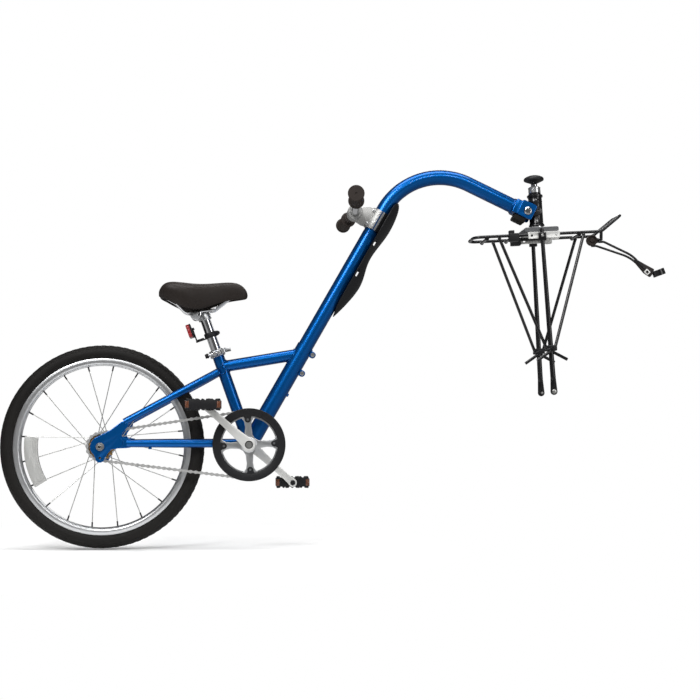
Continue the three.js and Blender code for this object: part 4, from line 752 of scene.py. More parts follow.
def chain_stations(size):
    """The rollers' places round both toothed wheels, from the chainring's top rearward."""
    big, small = pitch_radius(size, size.ring_teeth), pitch_radius(size, size.cog_teeth)
    apart = (HUB - BRACKET) / MM
    reach = math.hypot(apart.x, apart.z)
    rearward = math.atan2(apart.z, apart.x)
    spread = math.acos((big - small) / reach)
    straight = math.sqrt(reach ** 2 - (big - small) ** 2)
    top = rearward - spread
    around_cog = 2 * spread * small
    around_ring = (FULL_TURN - 2 * spread) * big
    total = 2 * straight + around_cog + around_ring
    links = 2 * round(total / size.pitch / 2)
    stations = []
    for k in range(links):
        s = total * k / links
        if s < straight:
            start = flat_point(BRACKET, top, big, -size.line)
            end = flat_point(HUB, top, small, -size.line)
            place = start.lerp(end, s / straight)
        elif s < straight + around_cog:
            place = flat_point(HUB, top + (s - straight) / small, small, -size.line)
        elif s < 2 * straight + around_cog:
            start = flat_point(HUB, top + 2 * spread, small, -size.line)
            end = flat_point(BRACKET, top + 2 * spread, big, -size.line)
            place = start.lerp(end, (s - straight - around_cog) / straight)
        else:
            angle = top + 2 * spread + (s - 2 * straight - around_cog) / big
            place = flat_point(BRACKET, angle, big, -size.line)
        stations.append(place)
    return stations


def link_model(name, size, plate_y):
    """Two side plates with a waist, on the rollers at the origin and one pitch along +X."""
    half, radius = size.pitch / 2, 4.0
    outline = []
    for way in (1, -1):
        outline += arc((way * half, 0), radius, -way * QUARTER, math.pi, 8) + [(0, way * radius * 0.5)]
    return [slab(
        name, outline, moved(ORIGIN, half, 0, 0), FORWARD, UP, y - 0.4, y + 0.4)
        for y in (-plate_y, plate_y)]


def link_pair(name, size, plate_y, rod):
    """A link with the round parts at both its ends, ready to be copied."""
    twin = copy_piece(rod, name, Matrix.Translation((size.pitch * MM, 0, 0)))
    return join(link_model(name, size, plate_y) + [rod, twin], name)


def make_chain(size):
    pin = cylinder("pin", left_of(ORIGIN, -4.1), left_of(ORIGIN, 4.1), 1.8, sides=10)
    roller = cylinder("roller", left_of(ORIGIN, -1.9), left_of(ORIGIN, 1.9), 3.9, sides=14)
    outer, inner = link_pair("outer_link", size, 3.4, pin), link_pair("inner_link", size, 2.4, roller)
    stations = chain_stations(size)
    links = []
    for k, place in enumerate(stations):
        ahead = stations[(k + 1) % len(stations)] - place
        move = Matrix.Translation(place) @ Matrix.Rotation(-math.atan2(ahead.z, ahead.x), 4, "Y")
        links.append(copy_piece(outer if k % 2 else inner, "chain_link", move))
    for model in (outer, inner):
        remove(model)
    dress(join(links, "chain_links"), "chain_steel", "frame", "chain")
    return stations


def toothed_outline(size, teeth, phase):
    radius = pitch_radius(size, teeth)
    step = FULL_TURN / teeth
    shape = ((-4.4, 0.5), (-3.6, 0.36), (-1.6, 0.25), (0.6, 0.13), (0.9, 0.05))
    outline = []
    for k in range(teeth):
        middle = phase + step * (k + 0.5)
        for rise, share in shape:
            outline.append((radius + rise, middle - share * step))
        for rise, share in shape[:0:-1]:
            outline.append((radius + rise, middle + share * step))
    return [(reach * math.cos(angle), reach * math.sin(angle)) for reach, angle in outline]


def roller_phase(origin, stations, reach):
    """The angle of the first roller that lies on a toothed wheel of that radius."""
    for place in stations:
        away = (place - origin) / MM
        if abs(math.hypot(away.x, away.z) - reach) < 0.02:
            return math.atan2(away.z, away.x)
    return 0.0


def make_cog(size, stations):
    line = -size.line
    phase = roller_phase(HUB, stations, pitch_radius(size, size.cog_teeth))
    cog = plate_piece(
        "cog_teeth", toothed_outline(size, size.cog_teeth, phase), HUB, line - 1.1, line + 1.1, 0.3)
    drill(cog, left_of(HUB, -60), left_of(HUB, 10), 14)
    body = turned("cog_body", [
        (14, line - 1.1), (22.4, line - 1.1), (23.4, line + 1.4), (23.4, line + 5), (14, line + 5)],
        HUB, ACROSS)
    cover = turned("cog_cover", [
        (6, line - 0.9), (9, line - 1.1), (13.4, line - 1), (13.9, line + 0.5), (13.9, line + 4),
        (6, line + 4)], HUB, ACROSS)
    dress(join([cog, body, cover], "cog_with_body"), "bronze_steel", "freewheel", "cog")


def make_chainring(size, stations):
    line, inner = -size.line, size.ring_inner
    phase = roller_phase(BRACKET, stations, pitch_radius(size, size.ring_teeth))
    band = plate_piece(
        "ring_teeth", toothed_outline(size, size.ring_teeth, phase), BRACKET, line - 1.2, line + 1.2, 0.25)
    drill(band, left_of(BRACKET, -60), left_of(BRACKET, -20), inner, 96)
    pieces = [band]
    flare = [(10, -1.15), (24, -0.62), (44, -0.5), (56, -0.62), (64, -1.0), (68, -1.6)]
    arm = mirrored([(reach, share * size.arm_width) for reach, share in flare])
    for k in range(4):
        outline = swung(arm, size.arm_angle + k * QUARTER)
        pieces.append(plate_piece("ring_arm", outline, BRACKET, line - 3.4, line + 1.2, 1.0))
    hub = turned("ring_hub", [
        (8.4, -48.8), (15.5, -48.8), (18.5, -47.4), (19.6, -44), (19.6, -40.9), (8.4, -40.9)], BRACKET,
        ACROSS)
    lip = turned("ring_lip", [
        (inner, -44.6), (inner + 3, -44.6), (inner + 4, -43.2), (inner, -43.2)], BRACKET, ACROSS, 96)
    dress(join(pieces + [hub, lip], "chainring_with_arms"), "silver_alloy", "crankset", "chainring")


def make_guard(size):
    low, high = -size.guard_outer_y, -size.guard_inner_y
    inner, outer = size.guard_inner, size.guard_outer
    profile = [
        (inner, high), (outer - 0.8, high), (outer, high - 0.8), (outer, low + 1.2), (outer - 1.2, low),
        (inner + 1.5, low), (inner, low + 1)]
    pieces = [turned("guard_ring", profile, BRACKET, ACROSS, 96)]
    sides = [(72, 13), (67.5, 10), (64, 8.2), (60, 7.6)]
    tip = [(60 - 7.2 * math.sin(math.pi * j / 8), 7.4 * math.cos(math.pi * j / 8)) for j in range(1, 8)]
    tab = sides + tip + [(reach, -wide) for reach, wide in reversed(sides)]
    studs, stud_circle = [], 60
    for k in range(4):
        angle = size.arm_angle + k * QUARTER
        pieces.append(plate_piece("guard_tab", swung(tab, angle), BRACKET, low + 0.1, high, 0.5))
        place = flat_point(BRACKET, angle, stud_circle, 0)
        pieces.append(cylinder("guard_post", left_of(place, high + 3.3), left_of(place, low), 3.8))
        studs.append(turned(
            "guard_stud", [(0, 0), (2.8, 0), (2.6, 0.6), (1.4, 0.9), (0, 0.5)], left_of(place, low + 0.1),
            -ACROSS, 20))
    dress(join(pieces, "chain_guard_ring"), "black_plastic", "crankset", "chain_guard")
    dress(join(studs, "guard_studs"), "grey_plastic", "crankset")


def crank_outline(size, angle):
    """A crank's outline: it narrows from its boss, then swells again round the pedal's eye."""
    boss, reach = size.boss_radius, size.crank_length
    sides = ((0.16, 0.78), (0.3, 0.66), (0.55, 0.56), (0.78, 0.53), (0.9, 0.56))
    below = [(reach * share, -boss * wide) for share, wide in sides]
    above = [(x, -y) for x, y in reversed(below)]
    eye = arc((reach, 0), size.eye_radius, -QUARTER, math.pi, 12)
    return swung(arc((0, 0), boss, QUARTER, math.pi, 12) + below + eye + above, angle)


def make_cranks(size):
    for side, sign in SIDES:
        angle = size.crank_angle + (0 if sign < 0 else math.pi)
        thick = size.crank_thick
        inner, outer = sign * size.crank_inner, sign * (size.crank_inner + thick)
        arm = plate_piece("crank_arm", crank_outline(size, angle), BRACKET, inner, outer, 2.2)
        eye = flat_point(BRACKET, angle, size.crank_length, 0)
        drill(arm, left_of(BRACKET, outer - sign * 4.5), left_of(BRACKET, outer + sign * 4), 9.6, 48)
        drill(arm, left_of(eye, inner - sign * 4), left_of(eye, outer + sign * 4), 6.4, 32)
        bevel(arm, 0.5, 1, 50)
        smooth(arm, 30)
        boss = turned(
            "crank_boss", [(8.4, 0), (14.4, 0), (15.4, 1.2), (15.4, 5), (8.4, 5)],
            left_of(BRACKET, inner - sign * 2.5), ACROSS * sign)
        crank = join([arm, boss], "crank_arm_" + side)
        body = "crankset"
        dress(crank, "bright_alloy", body, "crank_" + side)
        # Painted shade: a near-black disc on the floor of the recess round the bolt.
        floor = turned(
            "crank_recess_" + side, [(0, 0), (9.5, 0), (9.5, 0.5), (0, 0.5)],
            left_of(BRACKET, outer - sign * 4.5), ACROSS * sign, 40)
        dress(floor, "satin_line", body)
        bolt = turned(
            "crank_bolt_" + side, [(0, 0.9), (2.6, 0.9), (2.8, 2.9), (5, 3.1), (6, 2.2), (6, 0.3),
            (0, 0.3)], left_of(BRACKET, outer - sign * 4.6), ACROSS * sign, 32)
        dress(bolt, "zinc_steel", body)
        pin = turned("pedal_pin_" + side, [
            (0, 3.4), (3.2, 3.4), (3.2, 1), (6, 1), (6.3, 1.6), (6.3, thick), (8.2, thick + 0.3),
            (8.2, thick + 2.2), (4.4, thick + 2.6), (4.4, 75), (3, 76), (0, 76)], left_of(eye, inner),
            ACROSS * sign, 32)
        # Painted shade: the left pin, seen only down the crank's eye, is near black, though it is the same
        # steel as the right one.
        dress(pin, "satin_line" if side == "left" else "zinc_steel", body)
    bar = turned("spindle", [
        (0, -66.5), (7.4, -66.5), (7.9, -60), (7.9, 60), (7.4, 66.5), (0, 66.5)], BRACKET, ACROSS)
    dress(bar, "zinc_steel", "crankset", "crank_spindle")


def cage_outline(half, high, teeth):
    """A pedal's end plate: its upper and lower edges carry teeth."""
    pitch = 2 * (half - 4) / teeth
    above = [(-half, high - 9), (-half, high - 5)]
    for k in range(teeth):
        for share, drop in ((0.1, 3.6), (0.25, 0.4), (0.6, 0.4), (0.75, 3.6)):
            above.append((-half + 4 + pitch * (k + share), high - drop))
    return mirrored(above + [(half, high - 5), (half, high - 9)])


def make_pedals(size):
    for side, sign in SIDES:
        centre = joint_place(side + "_pedal_spin")
        centre.y = 0
        length_half, high = size.pedal_half_length, size.pedal_half_height
        near, far = sign * size.pedal_inner, sign * size.pedal_outer
        wide = abs(far - near)
        outline = cage_outline(length_half, high, size.pedal_teeth)
        plates = [
            plate_piece("pedal_end", outline, centre, near, near + sign * 5, 0.8),
            plate_piece("pedal_end", outline, centre, far - sign * 5, far, 0.8)]
        middle = (near + far) / 2
        centre_bar = turned("pedal_barrel", [
            (4.9, 0), (10.5, 0), (11.5, 3), (9.6, 8), (9, 30), (9.8, 52), (11, 56), (8.5, 59), (4.9, 59)],
            left_of(centre, near), ACROSS * sign)
        rails = []
        for way in (-1, 1):
            place = moved(centre, way * (length_half - 6.5), middle, 0)
            rails.append(block("pedal_rail", place, (12, wide - 2, 2 * high - 7), 1.8))
            for level in (-1, 1):
                bar_place = moved(centre, way * 14.5, middle, level * (high - 5))
                rails.append(block("pedal_slat", bar_place, (9, wide - 3, 5), 1.2))
                bridge = moved(centre, way * 24, middle, level * (high - 5))
                rails.append(block("pedal_bridge", bridge, (26, 7, 5), 1.0))
        tread = []
        model = block("pedal_tread", Vector((0, 0, 0)), (6.2, 5, 3.4), 0.8)
        for level in (-1, 1):
            for x in (-36.5, -14.5, 14.5, 36.5):
                for k in range(6):
                    y = near + sign * (6 + k * (wide - 12) / 5)
                    place = moved(centre, x, y, level * (high - 1.7))
                    tread.append(copy_piece(model, "pedal_tread", Matrix.Translation(place)))
        remove(model)
        pedal = join(plates + [centre_bar] + rails + tread, "pedal_body_" + side)
        dress(pedal, "black_plastic", side + "_pedal", "pedal_" + side)
        lenses = []
        for way in (-1, 1):
            place = moved(centre, way * (length_half - 0.9), middle, 0)
            lenses.append(block("pedal_lens", place, (2.4, wide * 0.62, 2 * high - 11), 0.8))
            for end in (near + sign * 1.4, far - sign * 1.4):
                corner = moved(centre, way * (length_half - 5), end, 0)
                lenses.append(block("pedal_lens_end", corner, (9, 3.6, 2 * high - 12), 0.8))
        dress(join(lenses, "pedal_reflectors_" + side), "amber_lens", side + "_pedal")


class TRAILERBIKE_OT_drivetrain(Operator):
    """Models the chain, the toothed wheels, the chain guard, the cranks and the pedals"""
    bl_idname = "trailer_bike.drivetrain"
    bl_label = "Drivetrain"

    def execute(self, context):
        size = sizes("drive")
        stations = make_chain(size)
        make_cog(size, stations)
        make_chainring(size, stations)
        make_guard(size)
        make_cranks(size)
        make_pedals(size)
        return {"FINISHED"}


# The frame
class FrameSizes(PropertyGroup):
    sleeve_radius: length("Sleeve tube radius", "Radius of the tube that the tow tube slides into", 20.4)
    sleeve_start: length("Sleeve tube start", "Where the sleeve tube begins, from the bottom bracket", 8)
    sleeve_top: length("Sleeve tube top", "Where the sleeve tube ends, from the bottom bracket", 275.6)
    sleeve_bore: length("Sleeve tube bore", "Radius of the sleeve tube's bore", 18.95)
    ear_offset: length("Ear offset", "Distance of the pinch bolts from the tube's middle", 25.5)
    ear_upper: length("Upper ear", "Place of the upper pinch bolt along the tube", 265)
    ear_lower: length("Lower ear", "Place of the lower pinch bolt along the tube", 213)
    ear_radius: length("Ear radius", "Radius of a pinch ear's end", 7.8)
    shell_radius: length("Shell radius", "Radius of the bottom bracket shell", 20.7)
    shell_half: length("Shell half width", "Half the width of the bottom bracket shell", 33.8)
    seat_radius: length("Seat tube radius", "Radius of the seat tube", 14.2)
    seat_top: length("Seat tube top", "Where the seat tube ends, from the bottom bracket", 241.8)
    top_rear: length("Top tube rear", "Where the top tube meets the seat tube", 200)
    top_front: length("Top tube front", "Where the top tube meets the sleeve tube", 254)
    chain_stay: length("Chain stay radius", "Radius of a chain stay", 10.4)
    seat_stay: length("Seat stay radius", "Radius of a seat stay", 9.4)
    dropout_y: length("Dropout place", "Distance of a dropout's middle from the bike's", 57)
    dropout_thick: length("Dropout thickness", "Thickness of a dropout", 6)
    dropout_radius: length("Dropout radius", "Radius of the dropout round the axle", 23.8)
    hub_nut: length("Axle nut radius", "Radius of the axle's nuts", 9.5)
    weld_bead: length("Weld bead", "Radius of a weld's bead", 2.0)


def weld(name, origin, direction, radius, other, other_direction, other_radius, bead):
    """A weld bead where a tube from the origin runs into another tube."""
    direction = direction.normalized()
    across = direction.orthogonal().normalized()
    beside = direction.cross(across)
    axis = other_direction.normalized()
    points = []
    for k in range(56):
        angle = FULL_TURN * k / 56
        start = origin + (across * math.cos(angle) + beside * math.sin(angle)) * (radius * MM)
        offset = start - other
        flat = offset - axis * offset.dot(axis)
        run = direction - axis * direction.dot(axis)
        a, b, c = run.dot(run), 2 * flat.dot(run), flat.dot(flat) - (other_radius * MM) ** 2
        root = math.sqrt(max(b * b - 4 * a * c, 0))
        distance = (-b - root) / (2 * a)
        ripple = 1 + 0.1 * math.sin(angle * 16)
        points.append((start + direction * distance, ripple))
    return tube(
        name, [place for place, _ in points], bead, closed=True, sides=4, radii=[r for _, r in points])


def make_main_tubes(size):
    bead, wide, end = size.weld_bead, size.shell_radius, size.shell_half
    top = size.sleeve_top
    sleeve = cylinder("sleeve_tube", on_tow(size.sleeve_start), on_tow(top), size.sleeve_radius, 0.0, 64)
    drill(sleeve, on_tow(62), on_tow(top + 20), size.sleeve_bore, 64)
    for along in (size.ear_upper, size.ear_lower):
        outline = link_outline((along, -size.ear_offset), (along, -18), size.ear_radius, size.ear_radius)
        boolean(sleeve, slab("ear", outline, BRACKET, TOW, TOW_UP, -9, 9, 1.2), "UNION")
    boolean(sleeve, slab("slit", rectangle(top - 92, -50, top + 9, 0), BRACKET, TOW, TOW_UP, -1.5, 1.5))
    smooth(bevel(sleeve, 0.6, 2, 50), 30)
    boss = turned(
        "cable_boss", [(0, 0), (4.4, 0), (4.4, 4), (3.2, 5.6), (0, 5.6)], on_tow(150, -18.2), -TOW_UP, 24)
    shell = turned("bracket_shell", [
        (8.4, -end), (wide - 1, -end), (wide, 1 - end), (wide, end - 1), (wide - 1, end), (8.4, end)],
        BRACKET, ACROSS, 64)
    seam = weld("shell_weld", on_tow(150), -TOW, size.sleeve_radius, BRACKET, ACROSS, wide, bead)
    dress(join([sleeve, boss, shell, seam], "sleeve_tube_and_shell"), "blue_paint", "frame", "down_tube")
    seat = cylinder("seat_tube_bar", on_seat(16), on_seat(size.seat_top), size.seat_radius, 0.0, 56)
    drill(seat, on_seat(60), on_seat(size.seat_top + 20), 12.75, 56)
    smooth(bevel(seat, 0.5, 2, 50), 30)
    foot = weld("seat_weld", on_seat(120), -SEAT, size.seat_radius, BRACKET, ACROSS, wide, bead)
    dress(join([seat, foot], "seat_tube_bar"), "blue_paint", "frame", "seat_tube")
    rear, front = on_seat(size.top_rear), on_tow(size.top_front)
    along = (front - rear).normalized()
    bar = cylinder("top_tube_bar", rear + along * 6 * MM, front - along * 12 * MM, 14.1, 0.0, 56)
    middle = (rear + front) / 2
    beads = [
        weld("weld", middle, -along, 14.1, BRACKET, SEAT, size.seat_radius, bead),
        weld("weld", middle, along, 14.1, BRACKET, TOW, size.sleeve_radius, bead)]
    dress(join([bar] + beads, "top_tube_bar"), "blue_paint", "frame", "top_tube")


def dropout_outline(size):
    """The dropout's plate as (x, z) from the axle: a round end, an arm to each stay and a tab."""
    eye = arc((0, 0), size.dropout_radius, math.radians(118), math.radians(114), 14)
    return eye + [
        (-11, -27), (-9.6, -33), (-5, -37.2), (2, -37.6), (8, -34.6), (11, -28), (17, -17.5), (26, -6.6),
        (40, -4.2), (62, -3.4), (72, -2), (73, 8), (71, 18.2), (62, 19.4), (53.4, 21.5), (50.6, 26.5),
        (53, 33), (62.4, 44.6), (66.6, 51), (64.5, 57.6), (58, 61), (50, 59.4), (22, 38)]


def make_stays(size):
    axle = HUB - BRACKET
    for side, sign in SIDES:

        def place(x, y, z):
            return moved(BRACKET, x, sign * y, z)
        rear_x = axle.x / MM + 62
        path = rounded([
            place(-14, 18.5, 3.2), place(-104, 31, 3.2), place(-176, 45, 3.2),
            place(rear_x, size.dropout_y - 1, 3.2)], 46)
        stay = tube("chain_stay", path, size.chain_stay, sides=10, radii=[1.0] * (len(path) - 1) + [0.86])
        near, far = size.dropout_y - size.dropout_thick / 2, size.dropout_y + size.dropout_thick / 2
        plate = plate_piece("dropout", dropout_outline(size), HUB, sign * near, sign * far, 0.0)
        for hole, radius in (((0, 0), 5.4), ((0, -27), 3.1)):
            spot = moved(HUB, hole[0], 0, hole[1])
            drill(plate, left_of(spot, sign * (near - 4)), left_of(spot, sign * (far + 4)), radius, 32)
        bevel(plate, 1.0, 2, 40)
        smooth(plate, 30)
        seam = [moved(HUB, x, sign * (far + 0.1), z) for x, z in (
            (47, -2.6), (53, 3), (54.5, 9), (53, 15), (48, 19.5))]
        bead = tube("stay_weld", rounded(seam, 6, 3), 1.5, sides=4)
        parts = [stay, plate, bead]
        if sign < 0:
            middle = place(-176, 45, 3.2).lerp(place(rear_x, size.dropout_y - 1, 3.2), 59 / (-rear_x - 176))
            parts.append(turned("stay_boss", [
                (0, 0), (4.2, 0), (4.2, 12.8), (3.4, 13.6), (0, 13.6)], middle, -UP, 24))
        dress(join(parts, "chain_stay_" + side), "blue_paint", "frame", "chainstay_" + side)
        tip = place(-296, size.dropout_y - 3, 54)
        bend = place(-108.3, 27, 156.7)
        end = place(-76.5, 19.6, 174.4)
        line = rounded([tip, bend, end], 40)
        upper = tube("seat_stay", line, size.seat_stay, sides=10, radii=[0.9] + [1.0] * (len(line) - 1))
        lip = weld("seat_stay_weld", bend, end - bend, size.seat_stay, BRACKET, SEAT, size.seat_radius, 1.5)
        dress(join([upper, lip], "seat_stay_" + side), "blue_paint", "frame", "seatstay_" + side)


def make_axle(size):
    face = size.dropout_y + size.dropout_thick / 2 + 0.3
    end = face + 12
    bar = [cylinder("axle_bar", left_of(HUB, -end), left_of(HUB, end), 4.9, 0.8, 32)]
    for _, sign in SIDES:
        out = ACROSS * sign
        bar.append(turned(
            "washer", [(5.2, 0), (9.8, 0), (9.8, 1.4), (5.2, 1.4)], HUB + out * face * MM, out, 40))
        bar.append(hexagon("nut", HUB, out, size.hub_nut - 0.3, face + 1.2, face + 7, 0.7))
        bar.append(turned(
            "nut_flange", [(5, 0), (8.2, 0), (7.4, 1.3), (5, 1.3)], HUB + out * (face + 7) * MM, out, 40))
    dress(join(bar, "axle_and_nuts"), "zinc_steel", "frame", "axle")
    # Painted shade: near-black discs on the axle's ends stand for the dark of its hollow.
    ends = [turned(
        "axle_end", [(0, 0), (3.6, 0), (3.6, 0.4), (0, 0.4)], left_of(HUB, sign * (end - 0.1)),
        ACROSS * sign, 24) for _, sign in SIDES]
    dress(join(ends, "axle_hollow_ends"), "satin_line", "frame")


def make_pinch_bolts(size):
    for name, along in (("upper", size.ear_upper), ("lower", size.ear_lower)):
        place = on_tow(along, -size.ear_offset)
        pieces = [cylinder("shank", left_of(place, -9.6), left_of(place, 9.6), 2.9, 0.0, 24)]
        pieces.append(turned("head", [
            (0, 2.2), (2.2, 2.2), (2.4, 3.9), (4.6, 4), (5.3, 3.2), (5.3, 0), (0, 0)], left_of(place, -9.3),
            -ACROSS, 32))
        pieces.append(hexagon("nut", place, ACROSS, 5.3, 9.3, 13.2, 0.5))
        dress(join(pieces, "pinch_screw_" + name), "zinc_steel", "frame", "pinch_bolt_" + name)


class TRAILERBIKE_OT_frame(Operator):
    """Models the welded frame with its dropouts, the axle and the pinch bolts"""
    bl_idname = "trailer_bike.frame"
    bl_label = "Frame"

    def execute(self, context):
        size = sizes("frame")
        make_main_tubes(size)
        make_stays(size)
        make_axle(size)
        make_pinch_bolts(size)
        return {"FINISHED"}


# The rack that holds the hitch, the post on it and the hitch that turns about the post
class RackSizes(PropertyGroup):
    deck_height: length("Deck height", "Height of the rails over the feet", 387)
    deck_half: length("Deck half width", "Half the distance between the rails", 44)
    rod: length("Rod radius", "Radius of the rack's rods", 3.9)
    rear: length("Deck rear", "Reach of the deck behind the legs", 166)
    front: length("Deck front", "Reach of the level deck ahead of the legs", 150)
    hoop: length("Hoop reach", "Reach of the raised hoop ahead of the legs", 204)
    hoop_rise: length("Hoop rise", "Height of the hoop over the deck", 40)
    foot_y: length("Foot distance", "Distance of a foot from the middle", 75)
    leg_top_y: length("Leg top distance", "Distance of a leg's top from the middle", 55)
    leg_top: length("Leg top radius", "Radius of a leg at the deck", 4.7)
    leg_low: length("Leg foot radius", "Radius of a leg at its foot", 6.4)
    knee_height: length("Knee height", "Height at which the struts meet the leg", 105)
    knee_x: length("Knee offset", "Distance of a strut's knee from the leg", 8)
    strut_rear_x: length("Rear strut top", "Reach of the rear strut's top behind the legs", 104)
    strut_front_x: length("Front strut top", "Reach of the front strut's top ahead of the legs", 106)
    tail_height: length("Tail height", "Height of the struts' tails", 76)
    tail_rear_x: length("Rear strut tail", "Reach of the rear strut's tail", 41)
    tail_front_x: length("Front strut tail", "Reach of the front strut's tail", 38)
    plate_low: length("Plate height", "Height of the top plate's underside", 393.4)
    plate_thick: length("Plate thickness", "Thickness of the top plate", 11.8)
    channel_half: length("Channel half width", "Half the outer width of the channel", 50.1)
    disc_x: length("Disc reach", "Reach of the disc ahead of the legs", 130)
    disc_height: length("Disc height", "Height of the disc's middle", 368)
    disc_radius: length("Disc radius", "Radius of the disc", 13.8)
    stay_rod: length("Stay rod", "Radius of the front stay's rods", 2.9)
    band_x: length("Band reach", "Reach of the stay's band ahead of the legs", 300)
    band_height: length("Band height", "Height of the stay's band", 282)
    band_radius: length("Band radius", "Radius of the stay's band", 15.8)
    post_foot: length("Post foot", "Height of the post's flange", 405.6)
    post_top: length("Post top", "Height of the post's top", 495.4)
    post_radius: length("Post radius", "Radius of the hitch post", 9.5)
    liner_foot: length("Liner foot", "Height of the liner's foot", 409)
    liner_top: length("Liner top", "Height of the liner's shoulder", 510.9)
    sleeve_foot: length("Sleeve foot", "Height of the sleeve's foot", 412.4)
    sleeve_top: length("Sleeve top", "Height of the sleeve's lip", 495.9)
    sleeve_radius: length("Sleeve radius", "Radius of the hitch sleeve", 16.9)
    lug_height: length("Lug height", "Height of the sleeve's lug", 449)
    lug_reach: length("Lug reach", "Distance of the lug's eye from the post", 24.7)
    knob_foot: length("Knob foot", "Height of the knob's underside", 519.7)
    knob_height: length("Knob height", "Height of the knob's head", 21.2)
    knob_radius: length("Knob radius", "Radius of the knob's head", 24.9)


def rack_turned(name, profile, sides=56):
    return turned(name, profile, Vector((0, 0, 0)), POST, sides)


def rack_plate(name, outline, from_y, to_y, edge=0.0):
    low, high = sorted((-from_y, -to_y))
    return slab(name, outline, Vector((0, 0, 0)), POST_FORE, POST, low, high, edge)


def rack_block(name, low, high, edge=0.0):
    centre = on_rack(*((a + b) / 2 for a, b in zip(low, high)))
    turn_matrix = frame_of(POST_FORE, POST)
    return block(name, centre, [b - a for a, b in zip(low, high)], edge, turn_matrix)


def leg_point(size, sign, height):
    share = (height - 34) / 366
    return on_rack(0, sign * (size.foot_y + (size.leg_top_y - size.foot_y) * share), height)


def make_deck(size):
    half, level, rod = size.deck_half, size.deck_height, size.rod
    rods = (-133, -72, 96)
    corners = []
    for sign in (-1, 1):
        run = [
            on_rack(-size.rear, sign * half, level), on_rack(size.front, sign * half, level),
            on_rack(size.hoop, sign * half, level + size.hoop_rise)]
        corners += run if sign < 0 else list(reversed(run))
    middle = on_rack(-size.rear, 0, level)
    outline = rounded([middle] + corners + [middle], 22, 10)[:-1]
    pieces = [tube("deck_loop", outline, rod, closed=True)]
    pieces += [cylinder(
        "cross_rod", on_rack(x, -half, level - rod), on_rack(x, half, level - rod), rod, 0.0, 20)
        for x in rods]
    for _, sign in SIDES:
        pieces.append(cylinder(
            "hanger", on_rack(150, sign * half, level), on_rack(150, sign * (half - 6), level - 19), rod,
            0.0, 20))
        for x in rods:
            pieces.append(turned(
                "rod_weld", [(rod - 0.6, 0), (rod + 1, 0.6), (rod + 1.2, 1.6), (rod + 0.2, 3),
                (rod - 0.6, 3)], on_rack(x, sign * (half - 5.4), level - rod), ACROSS * sign, 24))
    pieces.append(rack_block("low_bar", (147.1, -43, level - 21.9), (152.9, 43, level - 16.1), 0.8))
    pieces.append(rack_plate(
        "disc_strap", box_outline(size.disc_x - 6, level - 25, 150, level - 13, 2), -18.8, -15.2, 0.6))
    dress(join(pieces, "deck_of_rods"), "black_paint", "rack", "rack_deck")


def make_top_plate(size):
    low, high = size.plate_low, size.plate_low + size.plate_thick
    plate = rack_plate("rack_plate", box_outline(-39.8, low, 44.8, high, 4), -45.8, 45.8, 0.0)
    bevel(plate, 1.6, 3, 50)
    for k in range(4):
        y = -27 + 18 * k
        groove = rack_block("groove", (-60, y - 0.8, high - 0.9), (60, y + 0.8, high + 3))
        boolean(plate, groove)
    pieces = [smooth(plate, 35)]
    for x, y in ((-30, -34), (-30, 34), (35, -34), (35, 34)):
        pieces.append(turned(
            "plate_screw", [(0, 0.4), (1.8, 0.4), (2.1, 1.2), (4, 1.0), (4.4, 0), (0, 0)],
            on_rack(x, y, high - 0.3), POST, 24))
    dress(join(pieces, "rack_plate"), "grey_plastic", "rack", "rack_top_plate")


def make_channel(size):
    half, wall, low, top = size.channel_half, 2, 376.2, 392.8
    rail, level, screw_height = size.deck_half, size.deck_height, 384
    shell = rack_block("rack_channel_shell", (-32.8, -half, low), (45.8, half, top))
    boolean(shell, rack_block("inside", (-60, wall - half, low - 20), (80, half - wall, top - wall)))
    for _, sign in SIDES:
        for x in (-24, 37):
            drill(shell, on_rack(x, sign * 60, screw_height), on_rack(x, sign * 40, screw_height), 3.1)
    pieces = [smooth(bevel(shell, 0.6, 2, 60), 30)]
    for side, sign in SIDES:
        near, far = sorted((sign * 47.8, sign * 32))
        grip = rack_block("rail_clamp", (22, near, 373.2), (43.6, far, 391), 1.2)
        drill(grip, on_rack(0, sign * rail, level), on_rack(80, sign * rail, level), 4.0, 24)
        pieces += [grip, hexagon("clamp_nut", on_rack(33, sign * 40, 373.4), -POST, 3.4, -2, 1.2, 0.4)]
        screw = cylinder(
            "channel_screw_" + side, on_rack(37, sign * 47, screw_height),
            on_rack(37, sign * 50, screw_height), 2.9, 0.5, 24)
        dress(screw, "chain_steel", "rack")
        rear = -80 if sign < 0 else -59
        pinch = rack_block(
            "rail_pinch", (rear, sign * 44 - 11, 372.6), (rear + 24, sign * 44 + 11, 391.6), 1.4)
        drill(pinch, on_rack(-90, sign * rail, level), on_rack(-40, sign * rail, level), 3.6, 24)
        parts = [pinch, turned(
            "pinch_screw", [(0, 0), (3.6, 0), (3.6, 2.4), (2.4, 3), (1.6, 1.6), (0, 1.6)],
            on_rack(rear + 12, sign * 34, 391.4), POST, 24)]
        if sign < 0:
            parts.append(rack_block("rail_pinch_knob", (rear, -54, 388), (rear + 13, -40, 399), 1.4))
        dress(join(parts, "rail_pinch_" + side), "black_plastic", "rack")
    dress(join(pieces, "channel_with_clamps"), "bright_alloy", "rack", "rack_channel")


